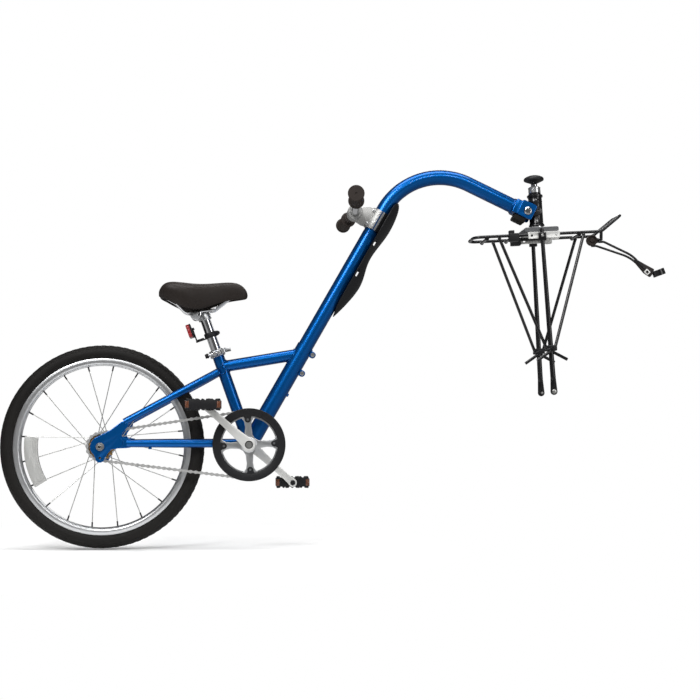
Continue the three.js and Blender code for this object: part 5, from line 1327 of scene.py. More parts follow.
def make_legs(size):
    for side, sign in SIDES:
        top, foot = leg_point(size, sign, 399.4), leg_point(size, sign, 34)
        rise = (top - foot).normalized()
        rings = 14
        points = [foot + (top - foot) * (k / rings) for k in range(rings + 1)]
        radii = [1 + (size.leg_top / size.leg_low - 1) * k / rings for k in range(rings + 1)]
        bar = tube("leg_bar", points, size.leg_low, radii=radii)
        tab = rack_plate(
            "foot_tab", link_outline((0, 0), (0, 32), 8.4, 6.4), sign * (size.foot_y - 2),
            sign * (size.foot_y + 2), 0.6)
        drill(tab, on_rack(0, sign * 60, 0), on_rack(0, sign * 90, 0), 3.4)
        neck = turned("leg_neck", [
            (0, -8), (4.4, -7), (6, -3), (size.leg_low + 0.2, 2), (size.leg_low, 6), (0, 6)], foot, rise,
            32)
        cap = turned("leg_cap", [
            (0, 1.2), (2.8, 0.9), (size.leg_top, -0.8), (size.leg_top, -4), (0, -4)], top, rise, 28)
        middle = leg_point(size, sign, 379).y / MM
        holder = rack_block("leg_holder", (-9.5, middle - 5.4, 369.5), (9.5, middle + 5.4, 389.5), 1.2)
        bolt = turned(
            "leg_bolt", [(0, 0), (3.8, 0), (3.8, 1.4), (2.6, 2.6), (0, 2.6)],
            on_rack(0, middle + sign * 5.3, 382), ACROSS * sign, 24)
        dress(bolt, "zinc_steel", "rack")
        leg = join([bar, tab, neck, cap, holder], "leg_with_foot_" + side)
        dress(leg, "black_paint", "rack", "rack_leg_" + side)
        head = hexagon(
            "foot_bolt_head", on_rack(0, sign * (size.foot_y + 2.2), 0), ACROSS * sign, 5.6, 0, 4.2, 0.8)
        washer = turned(
            "foot_washer", [(0, 0), (5.9, 0), (5.9, 0.9), (0, 0.9)],
            on_rack(0, sign * (size.foot_y + 2.1), 0), ACROSS * sign, 32)
        shank = cylinder(
            "foot_shank", on_rack(0, sign * (size.foot_y - 13), 0), on_rack(0, sign * size.foot_y, 0), 2.9,
            0.4, 24)
        screw = join([head, washer, shank], "foot_screw_" + side)
        dress(screw, "zinc_steel", "rack", "foot_bolt_" + side)


def make_struts(size):
    shift = size.leg_low + size.rod + 0.5
    for side, sign in SIDES:
        for name, top_x, knee_x, tail_x, offset in (
                ("rear_strut", -size.strut_rear_x, -size.knee_x, size.tail_rear_x, shift),
                ("front_strut", size.strut_front_x, size.knee_x, -size.tail_front_x, -shift)):
            knee = leg_point(size, sign, size.knee_height)
            tail = leg_point(size, sign, size.tail_height)
            start = on_rack(top_x, sign * size.deck_half, size.deck_height - 4.2)
            corner = on_rack(knee_x, knee.y / MM + offset, size.knee_height)
            end = on_rack(tail_x, tail.y / MM + offset, size.tail_height)
            run = rounded([start, corner, end], 22, 10)
            bar = tube(name + "_bar", run, size.rod - 0.1)
            ear = turned(
                "strut_eye", [(0, -1.5), (2.6, -1.5), (4.4, 0), (4.2, 3), (3.7, 5), (0, 5)], start,
                (corner - start).normalized(), 24)
            dress(join([bar, ear], name + "_bar_" + side), "black_paint", "rack", name + "_" + side)
        middle = leg_point(size, sign, size.knee_height).y / MM
        reach, level = 15.6, 105
        body = rack_block(
            "clamp_body", (-12.6, middle - reach, level - 7), (12.6, middle + reach, level + 7), 2.2)
        boolean(body, rack_block(
            "slit", (-40, middle - 30, level - 0.5), (-9, middle + 30, level + 0.5)))
        screw = turned(
            "clamp_bolt", [(0, 0), (3.5, 0), (3.5, 3), (2.6, 3.6), (1.9, 2), (0, 2)],
            on_rack(0, middle + sign * reach, level), ACROSS * sign, 24)
        dress(
            join([body, screw], "strut_clamp_body_" + side), "black_plastic", "rack", "strut_clamp_" + side)


def make_disc(size):
    origin = on_rack(size.disc_x, -24, size.disc_height)
    rim = size.disc_radius
    disc = turned("rubber_disc", [
        (0, -4.9), (rim - 2, -4.9), (rim, -3), (rim, 3), (rim - 2, 4.9), (rim - 4, 4.9), (rim - 5, 3.6),
        (6.2, 3.6), (5.4, 4.9), (4.8, 7.6), (2.2, 7.8), (2, 6.4), (0, 6.4)], origin, -ACROSS, 48)
    dress(disc, "dark_rubber", "rack", "rack_disc")


def make_stay(size):
    seat, level, rim = size.deck_height - 25.4, size.band_height, size.band_radius
    pieces = []
    lean = math.radians(17)
    band_axis = (POST * math.cos(lean) - POST_FORE * math.sin(lean)).normalized()
    for _, sign in SIDES:
        corners = [
            on_rack(144, sign * 38, seat), on_rack(156, sign * 38, seat), on_rack(231, sign * 15, 327),
            on_rack(266, sign * 3, 291), on_rack(size.band_x - rim + 1, sign * 3, level)]
        path = corners[:1]
        for corner, after, radius in zip(corners[1:], corners[2:], (9, 90, 30)):
            path += rounded([path[-1], corner, after], radius)[1:-1]
        pieces.append(tube("stay_rod", path + corners[-1:], size.stay_rod))
    pieces.append(turned("stay_band", [
        (rim - 3, -7.6), (rim - 0.6, -7.8), (rim, -7), (rim, 7), (rim - 0.6, 7.8), (rim - 3, 7.6)],
        on_rack(size.band_x, 0, level), band_axis, 48))
    dress(join(pieces, "stay_of_two_rods"), "black_paint", "rack", "front_stay")
    strap = rack_plate("stay_strap", [
        (241, 318), (246, 317), (268, 303), (288, 291), (284, 280), (277, 272), (262, 283), (241, 311)],
        -5.6, 5.6, 1.2)
    dress(smooth(strap, 30), "black_rubber", "rack")
    middle, along, beside = Vector((269, 284.5)), Vector((0.68, -0.73)), Vector((0.73, 0.68))
    outlines = [[
        middle + along * reach * x + beside * wide * y for x, y in ((-1, -1), (1, -1), (1, 1), (-1, 1))]
        for reach, wide in ((6.4, 5.8), (3.6, 3.2))]
    buckle = rack_plate("stay_buckle", outlines[0], -7.6, -5.2, 0.5)
    boolean(buckle, rack_plate("window", outlines[1], -12, -2))
    dress(smooth(buckle, 30), "bright_alloy", "rack")


def make_hitch(size):
    low, high, radius = size.post_foot, size.post_top, size.post_radius
    post = rack_turned("post_with_flange", [
        (0, low), (14.6, low), (15, low + 0.4), (15, low + 2.6), (14.4, low + 3), (radius, low + 3.2),
        (radius, high - 0.8), (radius - 0.8, high), (3.7, high), (3.7, high - 40), (0, high - 40)])
    dress(post, "chrome", "rack", "hitch_post")
    foot, top = size.liner_foot, size.liner_top
    liner = rack_turned("liner_with_collar", [
        (9.8, foot), (16.4, foot), (16.4, foot + 2.8), (13, foot + 3), (13, size.sleeve_top + 0.5),
        (14.6, size.sleeve_top + 0.5), (15.1, size.sleeve_top + 1), (15.1, top - 8), (14.5, top - 7.6),
        (14.5, top - 6.6), (15.1, top - 6.2), (15.1, top - 0.8), (14.3, top), (8, top), (8, top - 13.6),
        (9.8, top - 13.6)])
    dress(liner, "polished_alloy", "liner", "hitch_liner")
    base, tall, wide = size.knob_foot, size.knob_height, size.knob_radius
    knob = rack_turned("release_button", [
        (0, base - 49), (2.9, base - 49), (2.9, base - 14.4), (7.3, base - 14.4), (7.4, base - 1),
        (9, base + 0.4), (wide - 3.4, base + 5.6), (wide - 0.6, base + 7.4), (wide, base + 9.4),
        (wide - 0.2, base + 12.4), (wide - 1.6, base + 14.6), (wide - 6, base + 17.4),
        (wide - 12, base + tall - 1.5), (wide - 18, base + tall - 0.4), (0, base + tall)], 64)
    dress(knob, "black_plastic", "knob", "release_knob")
    spring = rack_turned("knob_stem_ring", [
        (7.3, base - 6.4), (7.7, base - 6), (7.7, base - 3), (7.3, base - 2.6), (7.2, base - 4)], 40)
    dress(spring, "chrome", "knob")
    bottom, lip, outer = size.sleeve_foot, size.sleeve_top, size.sleeve_radius
    barrel = rack_turned("sleeve_barrel", [
        (13.3, bottom), (18.6, bottom), (19.5, bottom + 0.8), (19.5, bottom + 3), (18.7, bottom + 4.4),
        (outer, bottom + 8), (outer, lip - 24), (outer + 0.5, lip - 23), (outer + 0.5, lip - 21),
        (outer, lip - 20), (outer, lip - 11.4), (19, lip - 11), (19.4, lip - 10.4), (19.4, lip - 5.8),
        (18.9, lip - 5.2), (15.2, lip - 5), (15.2, lip - 0.6), (14.6, lip), (13.3, lip)], 64)
    arm = rack_plate("lug_arm", link_outline(
        (-size.lug_reach, size.lug_height), (0, size.lug_height), 11.8, 11.8), -18.8, 18.8, 1.2)
    hollow = rack_turned("hollow", [
        (0, bottom - 10), (13.3, bottom - 10), (13.3, lip + 10), (0, lip + 10)], 64)
    boolean(arm, hollow)
    eye = on_rack(-size.lug_reach, 0, size.lug_height)
    drill(arm, left_of(eye, -40), left_of(eye, 40), 5.3)
    dress(join([smooth(barrel, 30), arm], "sleeve_with_lug"), "black_paint", "sleeve", "hitch_sleeve")


class TRAILERBIKE_OT_rack(Operator):
    """Models the hitch rack with its struts, disc and front stay, and the hitch on its post"""
    bl_idname = "trailer_bike.rack"
    bl_label = "Rack and hitch"

    def execute(self, context):
        size = sizes("rack")
        make_deck(size)
        make_top_plate(size)
        make_channel(size)
        make_legs(size)
        make_struts(size)
        make_disc(size)
        make_stay(size)
        make_hitch(size)
        return {"FINISHED"}


# The seat post, its collar, the reflector and the saddle
class SeatSizes(PropertyGroup):
    post_radius: length("Post radius", "Radius of the seat post", 12.3)
    post_bottom: length("Post bottom", "Lower end of the seat post, from the bottom bracket", 120)
    post_top: length("Post top", "Upper end of the seat post, from the bottom bracket", 337.8)
    collar_middle: length("Collar place", "Middle of the seat collar, from the bottom bracket", 235)
    collar_half: length("Collar half height", "Half the collar's height", 8.8)
    collar_radius: length("Collar radius", "Outer radius of the seat collar", 18.8)
    skewer_y: length("Skewer place", "Distance of the skewer to the right of the post", 24)
    lever_length: length("Lever length", "Length of the release lever's blade", 43)
    lever_turn: turn("Lever turn", "Angle of the closed lever from straight ahead", 66)
    band_place: length("Reflector band", "Middle of the reflector's band, from the bottom bracket", 282)
    bracket_back: length("Bracket reach", "Distance of the reflector bracket behind the post", 38)
    lens_middle: length("Reflector place", "Middle of the reflector, from the bottom bracket", 307)
    lens_half_width: length("Reflector half width", "Half the width of the rear reflector", 26.8)
    lens_half_height: length("Reflector half height", "Half the height of the rear reflector", 16.8)
    lens_depth: length("Reflector depth", "Depth of the rear reflector", 11.8)
    clamp_disc: length("Clamp disc", "Radius of the saddle clamp's discs", 13.3)
    cover_rear: length("Cover rear", "Place of the saddle's rear end behind its clamp", 89.2)
    cover_length: length("Cover length", "Length of the saddle", 214.9)
    cover_base: length("Cover base", "Height of the skirt's lowest point over the clamp", 7.0)
    cover_height: length("Cover height", "Height from the skirt's lowest point to the crown", 73.2)
    cover_half: length("Cover half width", "Half the saddle's width", 79.4)
    rail_radius: length("Rail radius", "Radius of a saddle rail", 3.4)


# Shares of the saddle's length, then of its height for the crown and the skirt's edge,
# of its half width, and of the section's own height for the hollow underneath
COVER_SHARES = (
    (0, 0.62, 0.47, 0.5, 0.3), (0.03, 0.79, 0.43, 0.72, 0.4), (0.067, 0.91, 0.38, 0.86, 0.6),
    (0.13, 0.975, 0.27, 0.96, 0.74), (0.228, 0.965, 0.13, 1, 0.78), (0.344, 0.93, 0.03, 0.93, 0.8),
    (0.446, 0.915, 0, 0.76, 0.8), (0.553, 0.93, 0.11, 0.56, 0.76), (0.669, 0.965, 0.256, 0.4, 0.66),
    (0.785, 0.995, 0.357, 0.31, 0.5), (0.885, 0.975, 0.4, 0.28, 0.35), (0.955, 0.85, 0.43, 0.24, 0.3),
    (1, 0.66, 0.46, 0.16, 0.25))
HOLLOW_DEPTH = 0.9
CROWN_SHARES = ((0.86, 0), (0.95, 0.3), (1, 0.58), (0.96, 0.8), (0.8, 0.94), (0.45, 1))


def make_post(size):
    low, high, radius = size.post_bottom, size.post_top, size.post_radius
    profile = [
        (0, low), (radius - 1, low), (radius, low + 1), (radius, high - 1), (radius - 1, high), (0, high)]
    dress(turned("seat_post_tube", profile, BRACKET, SEAT, 64), "chrome", "post_and_clamp", "seatpost")


def make_collar(size):
    middle, rim = size.collar_middle, size.collar_radius
    low, high = middle - size.collar_half, middle + size.collar_half
    inner = 14.4
    profile = [
        (inner, low), (rim - 1.2, low), (rim, low + 1.2), (rim - 0.6, middle - 2), (rim - 0.6, middle + 2),
        (rim, high - 1.4), (rim - 1.4, high), (12.8, high), (12.8, high - 2), (inner, high - 2.4)]
    ring = turned("collar_ring", profile, BRACKET, SEAT, 64)
    matrix = frame_of(SEAT_FORE, SEAT)
    ears = block(
        "collar_ears", on_seat(middle, 0, 0.6 - size.skewer_y), (19.6, 14, 12.4), 2.2, matrix)
    boolean(ring, ears, "UNION")
    slit = block("slit", on_seat(middle, 0, -20), (2, 26, 30), 0.0, matrix)
    boolean(ring, slit)
    bevel(ring, 0.4, 1, 50)
    smooth(ring, 30)
    place = BRACKET + (SEAT * middle - ACROSS * size.skewer_y) * MM
    nut = turned("skewer_nut", [
        (0, 21), (5, 21), (6, 22), (6.2, 24), (5.4, 25), (5.4, 28.6), (4.4, 29.4), (2, 29.4), (2, 28.4),
        (0, 28.4)], place, -SEAT_FORE, 32)
    sleeve = cylinder(
        "skewer_sleeve", place - SEAT_FORE * 21.4 * MM, place - SEAT_FORE * 9 * MM, 3.8, 0.5, 28)
    rod = cylinder("skewer", place - SEAT_FORE * 24 * MM, place + SEAT_FORE * 9.8 * MM, 2.4)
    dress(join([ring, rod, sleeve], "seat_collar_ring"), "silver_alloy", "frame", "seat_collar")
    dress(nut, "black_plastic", "frame")


def make_lever(size):
    pivot = joint_place("release_lever_swing")
    cam = turned("lever_cam", [
        (0, -5.8), (5.8, -5.8), (6.3, -5.2), (6.3, 5.2), (5.8, 5.8), (0, 5.8)], pivot, SEAT, 40)
    stations = (
        (0, 3.6, -1.6), (6, 3.0, -2.2), (14, 0.8, -2.4), (24, -0.6, -2.4), (34, -0.6, -2.0),
        (41, 0.6, -0.6), (size.lever_length, 1.6, 0.6))
    outline = [(x, high) for x, high, low in stations] + [(x, low) for x, high, low in reversed(stations)]
    blade = slab("lever_blade", swung(outline, size.lever_turn), pivot, SEAT_FORE, ACROSS, -5.3, 5.3, 0.9)
    dress(join([cam, blade], "release_lever_blade"), "silver_alloy", "release_lever", "qr_lever")


def make_reflector(size):
    low, high, back = size.band_place - 6.4, size.band_place + 6.4, -size.bracket_back
    matrix = frame_of(SEAT_FORE, SEAT)
    band = turned("reflector_band", [
        (12.6, low), (15, low), (15.5, low + 0.8), (15.5, high - 0.8), (15, high), (12.6, high)], BRACKET,
        SEAT, 56)
    arm = block("bracket_arm", on_seat(low + 1.6, (back - 13) / 2), (-back - 13 + 2, 12, 3.2), 0.8, matrix)
    rib = block("bracket_rib", on_seat(low + 4.2, (back - 16) / 2), (-back - 20, 3, 4), 0.8, matrix)
    top = size.lens_middle + 6
    riser = block("bracket_riser", on_seat((low + top) / 2, back + 1.5), (3, 13.6, top - low), 1.0, matrix)
    ears = block("band_ears", on_seat(size.band_place, 17), (5.4, 9, 11), 1.2, matrix)
    dress(
        join([band, arm, rib, riser, ears], "reflector_mount"), "black_plastic", "post_and_clamp",
        "reflector_bracket")
    screw = turned(
        "band_screw", [(0, 0), (3.4, 0), (3.8, 0.8), (3.8, 3), (3.0, 3.8), (0, 3.4)],
        on_seat(size.band_place, 19.2), SEAT_FORE, 28)
    nut = turned(
        "riser_nut", [(0, 0), (3.4, 0), (3.4, 2.2), (2, 2.6), (0, 2.6)],
        on_seat(size.lens_middle + 3, back + 3), SEAT_FORE, 6)
    dress(join([screw, nut], "reflector_screws"), "black_plastic", "post_and_clamp")
    wide, tall, front = size.lens_half_width, size.lens_half_height, back - 0.3
    middle = on_seat(size.lens_middle)
    housing = slab(
        "reflector_back", box_outline(-wide, -tall, wide, tall, 9), middle, ACROSS, SEAT, front - 3.6,
        front, 0.6)
    dress(housing, "black_plastic", "post_and_clamp", "rear_reflector")
    inset = box_outline(0.4 - wide, 0.4 - tall, wide - 0.4, tall - 0.4, 8.6)
    lens = slab("rear_lens", inset, middle, ACROSS, SEAT, front - size.lens_depth, front - 3.2, 1.6)
    dress(lens, "red_lens", "post_and_clamp")


def make_saddle_clamp(size):
    low, high = size.post_top - 17.6, size.post_top
    band = turned("clamp_band", [
        (12.6, low), (15.2, low), (16, low + 1), (16, high - 3), (15, high - 0.4), (12.6, high)], BRACKET,
        SEAT, 48)
    lug = turned("clamp_lug", [
        (0, -15.8), (9.2, -15.8), (9.8, -15), (9.8, 15), (9.2, 15.8), (0, 15.8)], SADDLE, ACROSS, 48)
    link = slab("clamp_link", link_outline((0, 0), (14, -6), 9.4, 9), SADDLE, FORWARD, UP, -11, 11, 1.5)
    bolt = cylinder("clamp_bolt", left_of(SADDLE, -30), left_of(SADDLE, 30), 3.9, 0.4)
    pieces = [band, lug, link, bolt]
    for _, sign in SIDES:
        pieces.append(hexagon("clamp_nut", SADDLE, ACROSS * sign, 6.9, 25.9, 30.3, 0.6))
    dress(join(pieces, "saddle_clamp_body"), "silver_alloy", "post_and_clamp", "saddle_clamp")


def make_rails(size):
    def path(sign):
        knots = [(-72, 34, 42), (-52, 32, 31), (-23.4, 21.2, 2.8), (43.8, 21.2, 10.8), (97, 11, 52.4)]
        return [moved(SADDLE, x, sign * y, z) for x, y, z in knots]

    right, left = path(-1), path(1)
    corners = right + [moved(right[-1], 5, 7, 2), moved(left[-1], 5, -7, 2)] + left[::-1]
    rails = [tube("rail", rounded(corners, 15, 7), size.rail_radius, sides=7)]
    rim = size.clamp_disc
    for _, sign in SIDES:
        rails.append(turned("clamp_disc", [
            (4.3, 17), (11.8, 17), (rim, 18), (rim, 20.4), (rim - 1.4, 20.8), (rim - 1.4, 21.6),
            (rim, 22), (rim, 24.2), (11.6, 25.3), (4.3, 25.3)], SADDLE, ACROSS * sign, 48))
    dress(join(rails, "saddle_rail_wires"), "chrome", "saddle", "saddle_rails")
    sockets = []
    for _, sign in SIDES:
        end = moved(SADDLE, -71, sign * 34, 38)
        sockets.append(cylinder("rail_socket", end, moved(end, -4, 0, 24), 7, 1.2, 24))
    dress(join(sockets, "rail_sockets"), "black_plastic", "saddle")


def cover_section(size, shares):
    place, crown, skirt, width, hollow = shares
    x = -size.cover_rear + size.cover_length * place
    low = size.cover_base + size.cover_height * skirt
    rise = size.cover_height * (crown - skirt)
    half = size.cover_half * width
    right = [(x, -half * y, low + rise * z) for y, z in CROWN_SHARES]
    left = [(x, half * y, low + rise * z) for y, z in reversed(CROWN_SHARES)]
    under = []
    for y, z in ((0.79, 0.02), (0.74, 0.6), (0.4, 0.92), (0, 1), (-0.4, 0.92), (-0.74, 0.6), (-0.79, 0.02)):
        under.append((x, half * y, low + rise * hollow * HOLLOW_DEPTH * z))
    return right + [(x, 0, low + rise)] + left + under


def make_cover(size):
    sections = [cover_section(size, shares) for shares in COVER_SHARES]
    across = len(sections[0])
    points = [SADDLE + Vector(point) * MM for section in sections for point in section]
    faces = []
    for i in range(len(sections) - 1):
        for k in range(across):
            a, b = i * across + k, i * across + (k + 1) % across
            faces.append((a, a + across, b + across, b))
    last = (len(sections) - 1) * across
    faces += [tuple(range(across)), tuple(range(last, last + across))]
    cover = outward(mesh_piece("saddle_shell", points, faces))
    cover.modifiers.new("Smooth", "SUBSURF").levels = 3
    apply_all(cover)
    smooth(cover, 60)
    dress(cover, "saddle_vinyl", "saddle", "saddle_cover")


class TRAILERBIKE_OT_seat(Operator):
    """Models the seat post, the collar with its lever, the reflector and the saddle on its rails"""
    bl_idname = "trailer_bike.seat"
    bl_label = "Seat"

    def execute(self, context):
        size = sizes("seat")
        make_post(size)
        make_collar(size)
        make_lever(size)
        make_reflector(size)
        make_saddle_clamp(size)
        make_rails(size)
        make_cover(size)
        return {"FINISHED"}


# The tow tube with its yoke, the handlebar on its clamp and the spray guard
class TowSizes(PropertyGroup):
    radius: length("Tow tube radius", "Radius of the tow tube", 18.6)
    start: length("Tow tube start", "Lower end of the tow tube, from the bottom bracket", 86)
    bend_radius: length("Bend radius", "Radius of the tow tube's bend", 161.5)
    end_angle: turn("End angle", "Fall of the tow tube's front end", 25.6)
    end_to_bolt: length("End to bolt", "From the tube's end to the pitch bolt", 37.9)
    cheek_rear: length("Cheek rear", "Reach of the yoke's cheeks behind the bolt", 22)
    cheek_front: length("Cheek front", "Reach of the yoke's cheeks ahead of the bolt", 17)
    cheek_low: length("Cheek low", "Reach of the cheeks under the bolt", 18)
    cheek_high: length("Cheek high", "Reach of the cheeks over the bolt", 22)
    cheek_inner: length("Cheek inner face", "Distance of a cheek's inner face from the middle", 20.2)
    cheek_wall: length("Cheek wall", "Thickness of a cheek", 5.2)
    web: length("Web length", "Length of the block behind the cheeks", 14)
    bolt_head: length("Bolt head", "Radius of the pitch bolt's heads", 9.9)
    clamp_start: length("Clamp start", "Lower end of the bar clamp, from the bottom bracket", 604.2)
    clamp_end: length("Clamp end", "Upper end of the bar clamp, from the bottom bracket", 655.8)
    clamp_radius: length("Clamp radius", "Radius of the bar clamp round the tow tube", 24.2)
    barrel_half: length("Barrel half width", "Half the width of the bar's barrel", 22.8)
    barrel_radius: length("Barrel radius", "Radius of the bar's barrel", 18.1)
    bar_radius: length("Bar radius", "Radius of the handlebar", 11.0)
    bar_half: length("Bar half length", "Half the length of the handlebar", 249.6)
    bar_sweep: length("Bar sweep", "How far the bar's ends lie behind its middle", 13)
    bar_rise: length("Bar rise", "How far the bar's ends lie over its middle", 6)
    grip_inner: length("Grip start", "Distance of a grip's inner end from the middle", 146)
    grip_radius: length("Grip radius", "Radius of a grip", 16)
    flange_radius: length("Grip flange", "Radius of a grip's flanges", 19.2)
    guard_bottom: length("Guard bottom", "Lower end of the spray guard, from the bottom bracket", 372.5)
    guard_length: length("Guard length", "Length of the spray guard", 322)
    guard_thick: length("Guard thickness", "Thickness of the spray guard", 2.5)
    guard_widest: length("Guard half width", "Greatest half width of the spray guard", 45.6)
    guard_deepest: length("Guard depth", "Greatest distance of the guard from the tube's middle", 44.8)
    slot_length: length("Slot length", "Length of the slots beside the tow tube", 20)
    slot_depth: length("Slot depth", "Depth of the slots beside the tow tube", 4)
    guard_edge: length("Guard edge", "Least distance of the guard's edges from the tube's middle", 17)


# Shares of the guard's length, of its depth in front of the tube and of its half width
GUARD_SHARES = (
    (0, 0.53, 0.1), (0.03, 0.6, 0.26), (0.08, 0.71, 0.42), (0.17, 0.87, 0.7), (0.277, 1, 0.86),
    (0.357, 0.94, 0.84), (0.43, 0.8, 0.72), (0.485, 0.71, 0.64), (0.563, 0.69, 0.7), (0.69, 0.84, 0.93),
    (0.777, 0.9, 1), (0.87, 0.86, 0.9), (0.95, 0.76, 0.62), (0.985, 0.66, 0.42), (1, 0.57, 0.2))


def end_direction(size):
    return Vector((math.cos(size.end_angle), 0, -math.sin(size.end_angle)))


def end_up(size):
    return Vector((math.sin(size.end_angle), 0, math.cos(size.end_angle)))


def make_tow_tube(size):
    ahead = end_direction(size)
    gap = BOLT - BRACKET
    corner_at = (gap.x * ahead.z - gap.z * ahead.x) / (TOW.x * ahead.z - TOW.z * ahead.x)
    corner = BRACKET + TOW * corner_at
    end = BOLT - ahead * size.end_to_bolt * MM
    path = rounded([on_tow(size.start), corner, end], size.bend_radius, 48, 0.95)
    bar = tube("tow_tube_bar", path, size.radius, sides=14)
    collar = [
        end + (end_up(size) * math.cos(a) + ACROSS * math.sin(a)) * (size.radius * MM) - ahead * 0.4 * MM
        for a in (FULL_TURN * k / 48 for k in range(48))]
    bead = tube("tow_weld", collar, 1.7, closed=True, sides=4)
    dress(join([bar, bead], "tow_tube_bar"), "blue_paint", "tow", "tow_tube")


def make_yoke(size):
    ahead, above = end_direction(size), end_up(size)
    outer = size.cheek_inner + size.cheek_wall
    shape = box_outline(-size.cheek_rear, -size.cheek_low, size.cheek_front, size.cheek_high, 5)
    pieces = []
    for _, sign in SIDES:
        low, high = sorted((-sign * size.cheek_inner, -sign * outer))
        cheek = slab("cheek", shape, BOLT, ahead, above, low, high, 0.0)
        drill(cheek, left_of(BOLT, sign * 15), left_of(BOLT, sign * 30), 5.4)
        pieces.append(smooth(bevel(cheek, 1.3, 3, 40), 30))
    web_shape = box_outline(-size.cheek_rear - size.web, -size.cheek_low, -size.cheek_rear + 2, 18.2, 3)
    web = slab("yoke_web", web_shape, BOLT, ahead, above, -outer + 0.4, outer - 0.4, 2.4)
    socket = turned(
        "yoke_socket", [(12, 0), (19.6, 0), (20.4, 1), (20.4, 7), (12, 7)],
        BOLT - ahead * (size.cheek_rear + size.web + 1) * MM, ahead, 56)
    spigot = cylinder("yoke_spigot", BOLT - ahead * 58 * MM, BOLT - ahead * 30 * MM, 16.2, 0.8)
    dress(join(pieces + [web, socket, spigot], "yoke_body"), "blue_paint", "tow", "hitch_yoke")
    top = -size.cheek_low - 0.4
    pad_shape = box_outline(-26, top - 13.6, 5, top, 4)
    pad = slab("yoke_pad", pad_shape, BOLT, ahead, above, -21.6, 21.6, 1.6)
    for k in range(3):
        at = BOLT + (ahead * (-20 + 9 * k) + above * (top - 13.6)) * MM
        boolean(pad, block("groove", at, (1.6, 50, 2.4), 0.0, frame_of(ahead, above)))
    dress(smooth(pad, 30), "tyre_rubber", "tow", "yoke_bumper")


def make_pitch_bolt(size):
    face = size.cheek_inner + size.cheek_wall + 0.4
    pieces = [cylinder("bolt_shank", left_of(BOLT, -face), left_of(BOLT, face), 4.9)]
    for _, sign in SIDES:
        head = turned("bolt_head", [
            (0, 1.6), (4.2, 1.6), (4.4, 4.4), (6.6, 4.7), (8.6, 3.9), (size.bolt_head, 2.2),
            (size.bolt_head, 0), (0, 0)], left_of(BOLT, sign * face), ACROSS * sign, 48)
        pieces.append(head)
    dress(join(pieces, "pitch_bolt_with_heads"), "chrome", "sleeve", "pitch_bolt")


def make_bar_clamp(size):
    start, end, wide = size.clamp_start, size.clamp_end, size.barrel_radius

    def cut(piece, low, high):
        """Takes away what lies between two heights over the tow tube's line."""
        outline = rectangle(start - 8, low, end + 8, high)
        return boolean(piece, slab("cut", outline, BRACKET, TOW, TOW_UP, -60, 60))

    def bore(piece):
        return drill(piece, on_tow(start - 6), on_tow(end + 6), size.radius + 0.3, 64)

    ring = cylinder("clamp_ring", on_tow(start), on_tow(end), size.clamp_radius, 0.0, 64)
    along, offset = (BAR - BRACKET).dot(TOW) / MM, (BAR - BRACKET).dot(TOW_UP) / MM
    neck_shape = [
        (start + 3, 8), (start + 2.4, 22), (start - 0.2, 30), (along - wide + 2, offset - 14),
        (along - wide + 1, offset + 2), (along - 8, offset + 14), (along + 8, offset + 14),
        (along + wide - 1, offset + 2), (along + wide + 2, offset - 12), (end - 5, 34), (end - 2.4, 24),
        (end - 2.4, 8)]
    boolean(ring, slab("clamp_neck", neck_shape, BRACKET, TOW, TOW_UP, -17, 17, 3.2), "UNION")
    rim = size.barrel_half
    boolean(ring, turned(
        "clamp_barrel", mirrored([(8, -rim), (wide - 1.6, -rim), (wide, 1.6 - rim)]), BAR, ACROSS, 56),
        "UNION")
    bore(ring)
    drill(ring, left_of(BAR, -30), left_of(BAR, 30), size.bar_radius + 0.4, 48)
    casting = smooth(bevel(cut(ring, -60, 5.5), 0.9, 2, 50), 40)
    casting.name = "clamp_casting"
    dress(casting, "cast_alloy", "bar_clamp", "bar_clamp_body")
    trim = []
    for low, high in ((1.4, 6.2), (-6.4, -1.4)):
        strip = cylinder(
            "clamp_strip", on_tow(start + 0.4), on_tow(end - 0.4), size.clamp_radius - 0.1, 0.0, 64)
        trim.append(smooth(cut(cut(bore(strip), high, 60), -60, low), 40))
    for spot, up in ((start + 7, 20), (end - 9, 21)):
        for _, sign in SIDES:
            trim.append(turned(
                "clamp_screw", [(0, 0), (3.6, 0), (3.9, 0.6), (3.7, 2), (2.2, 2.4), (2, 1), (0, 1)],
                on_tow(spot, up, sign * 17), ACROSS * sign, 28))
    dress(join(trim, "clamp_strips_and_screws"), "polished_alloy", "bar_clamp")
    band = cylinder("clamp_strap", on_tow(start + 0.2), on_tow(end - 0.2), size.clamp_radius, 0.0, 64)
    band = smooth(bevel(cut(bore(band), -6.6, 60), 0.8, 2, 50), 40)
    boss = turned(
        "strap_boss", [(0, 0), (7.4, 0), (6.2, 6), (5.8, 14.4), (0, 14.4)],
        on_tow((start + end) / 2, 1 - size.clamp_radius), -TOW_UP, 32)
    dress(join([band, boss], "clamp_strap_half"), "black_plastic", "bar_clamp", "bar_clamp_band")


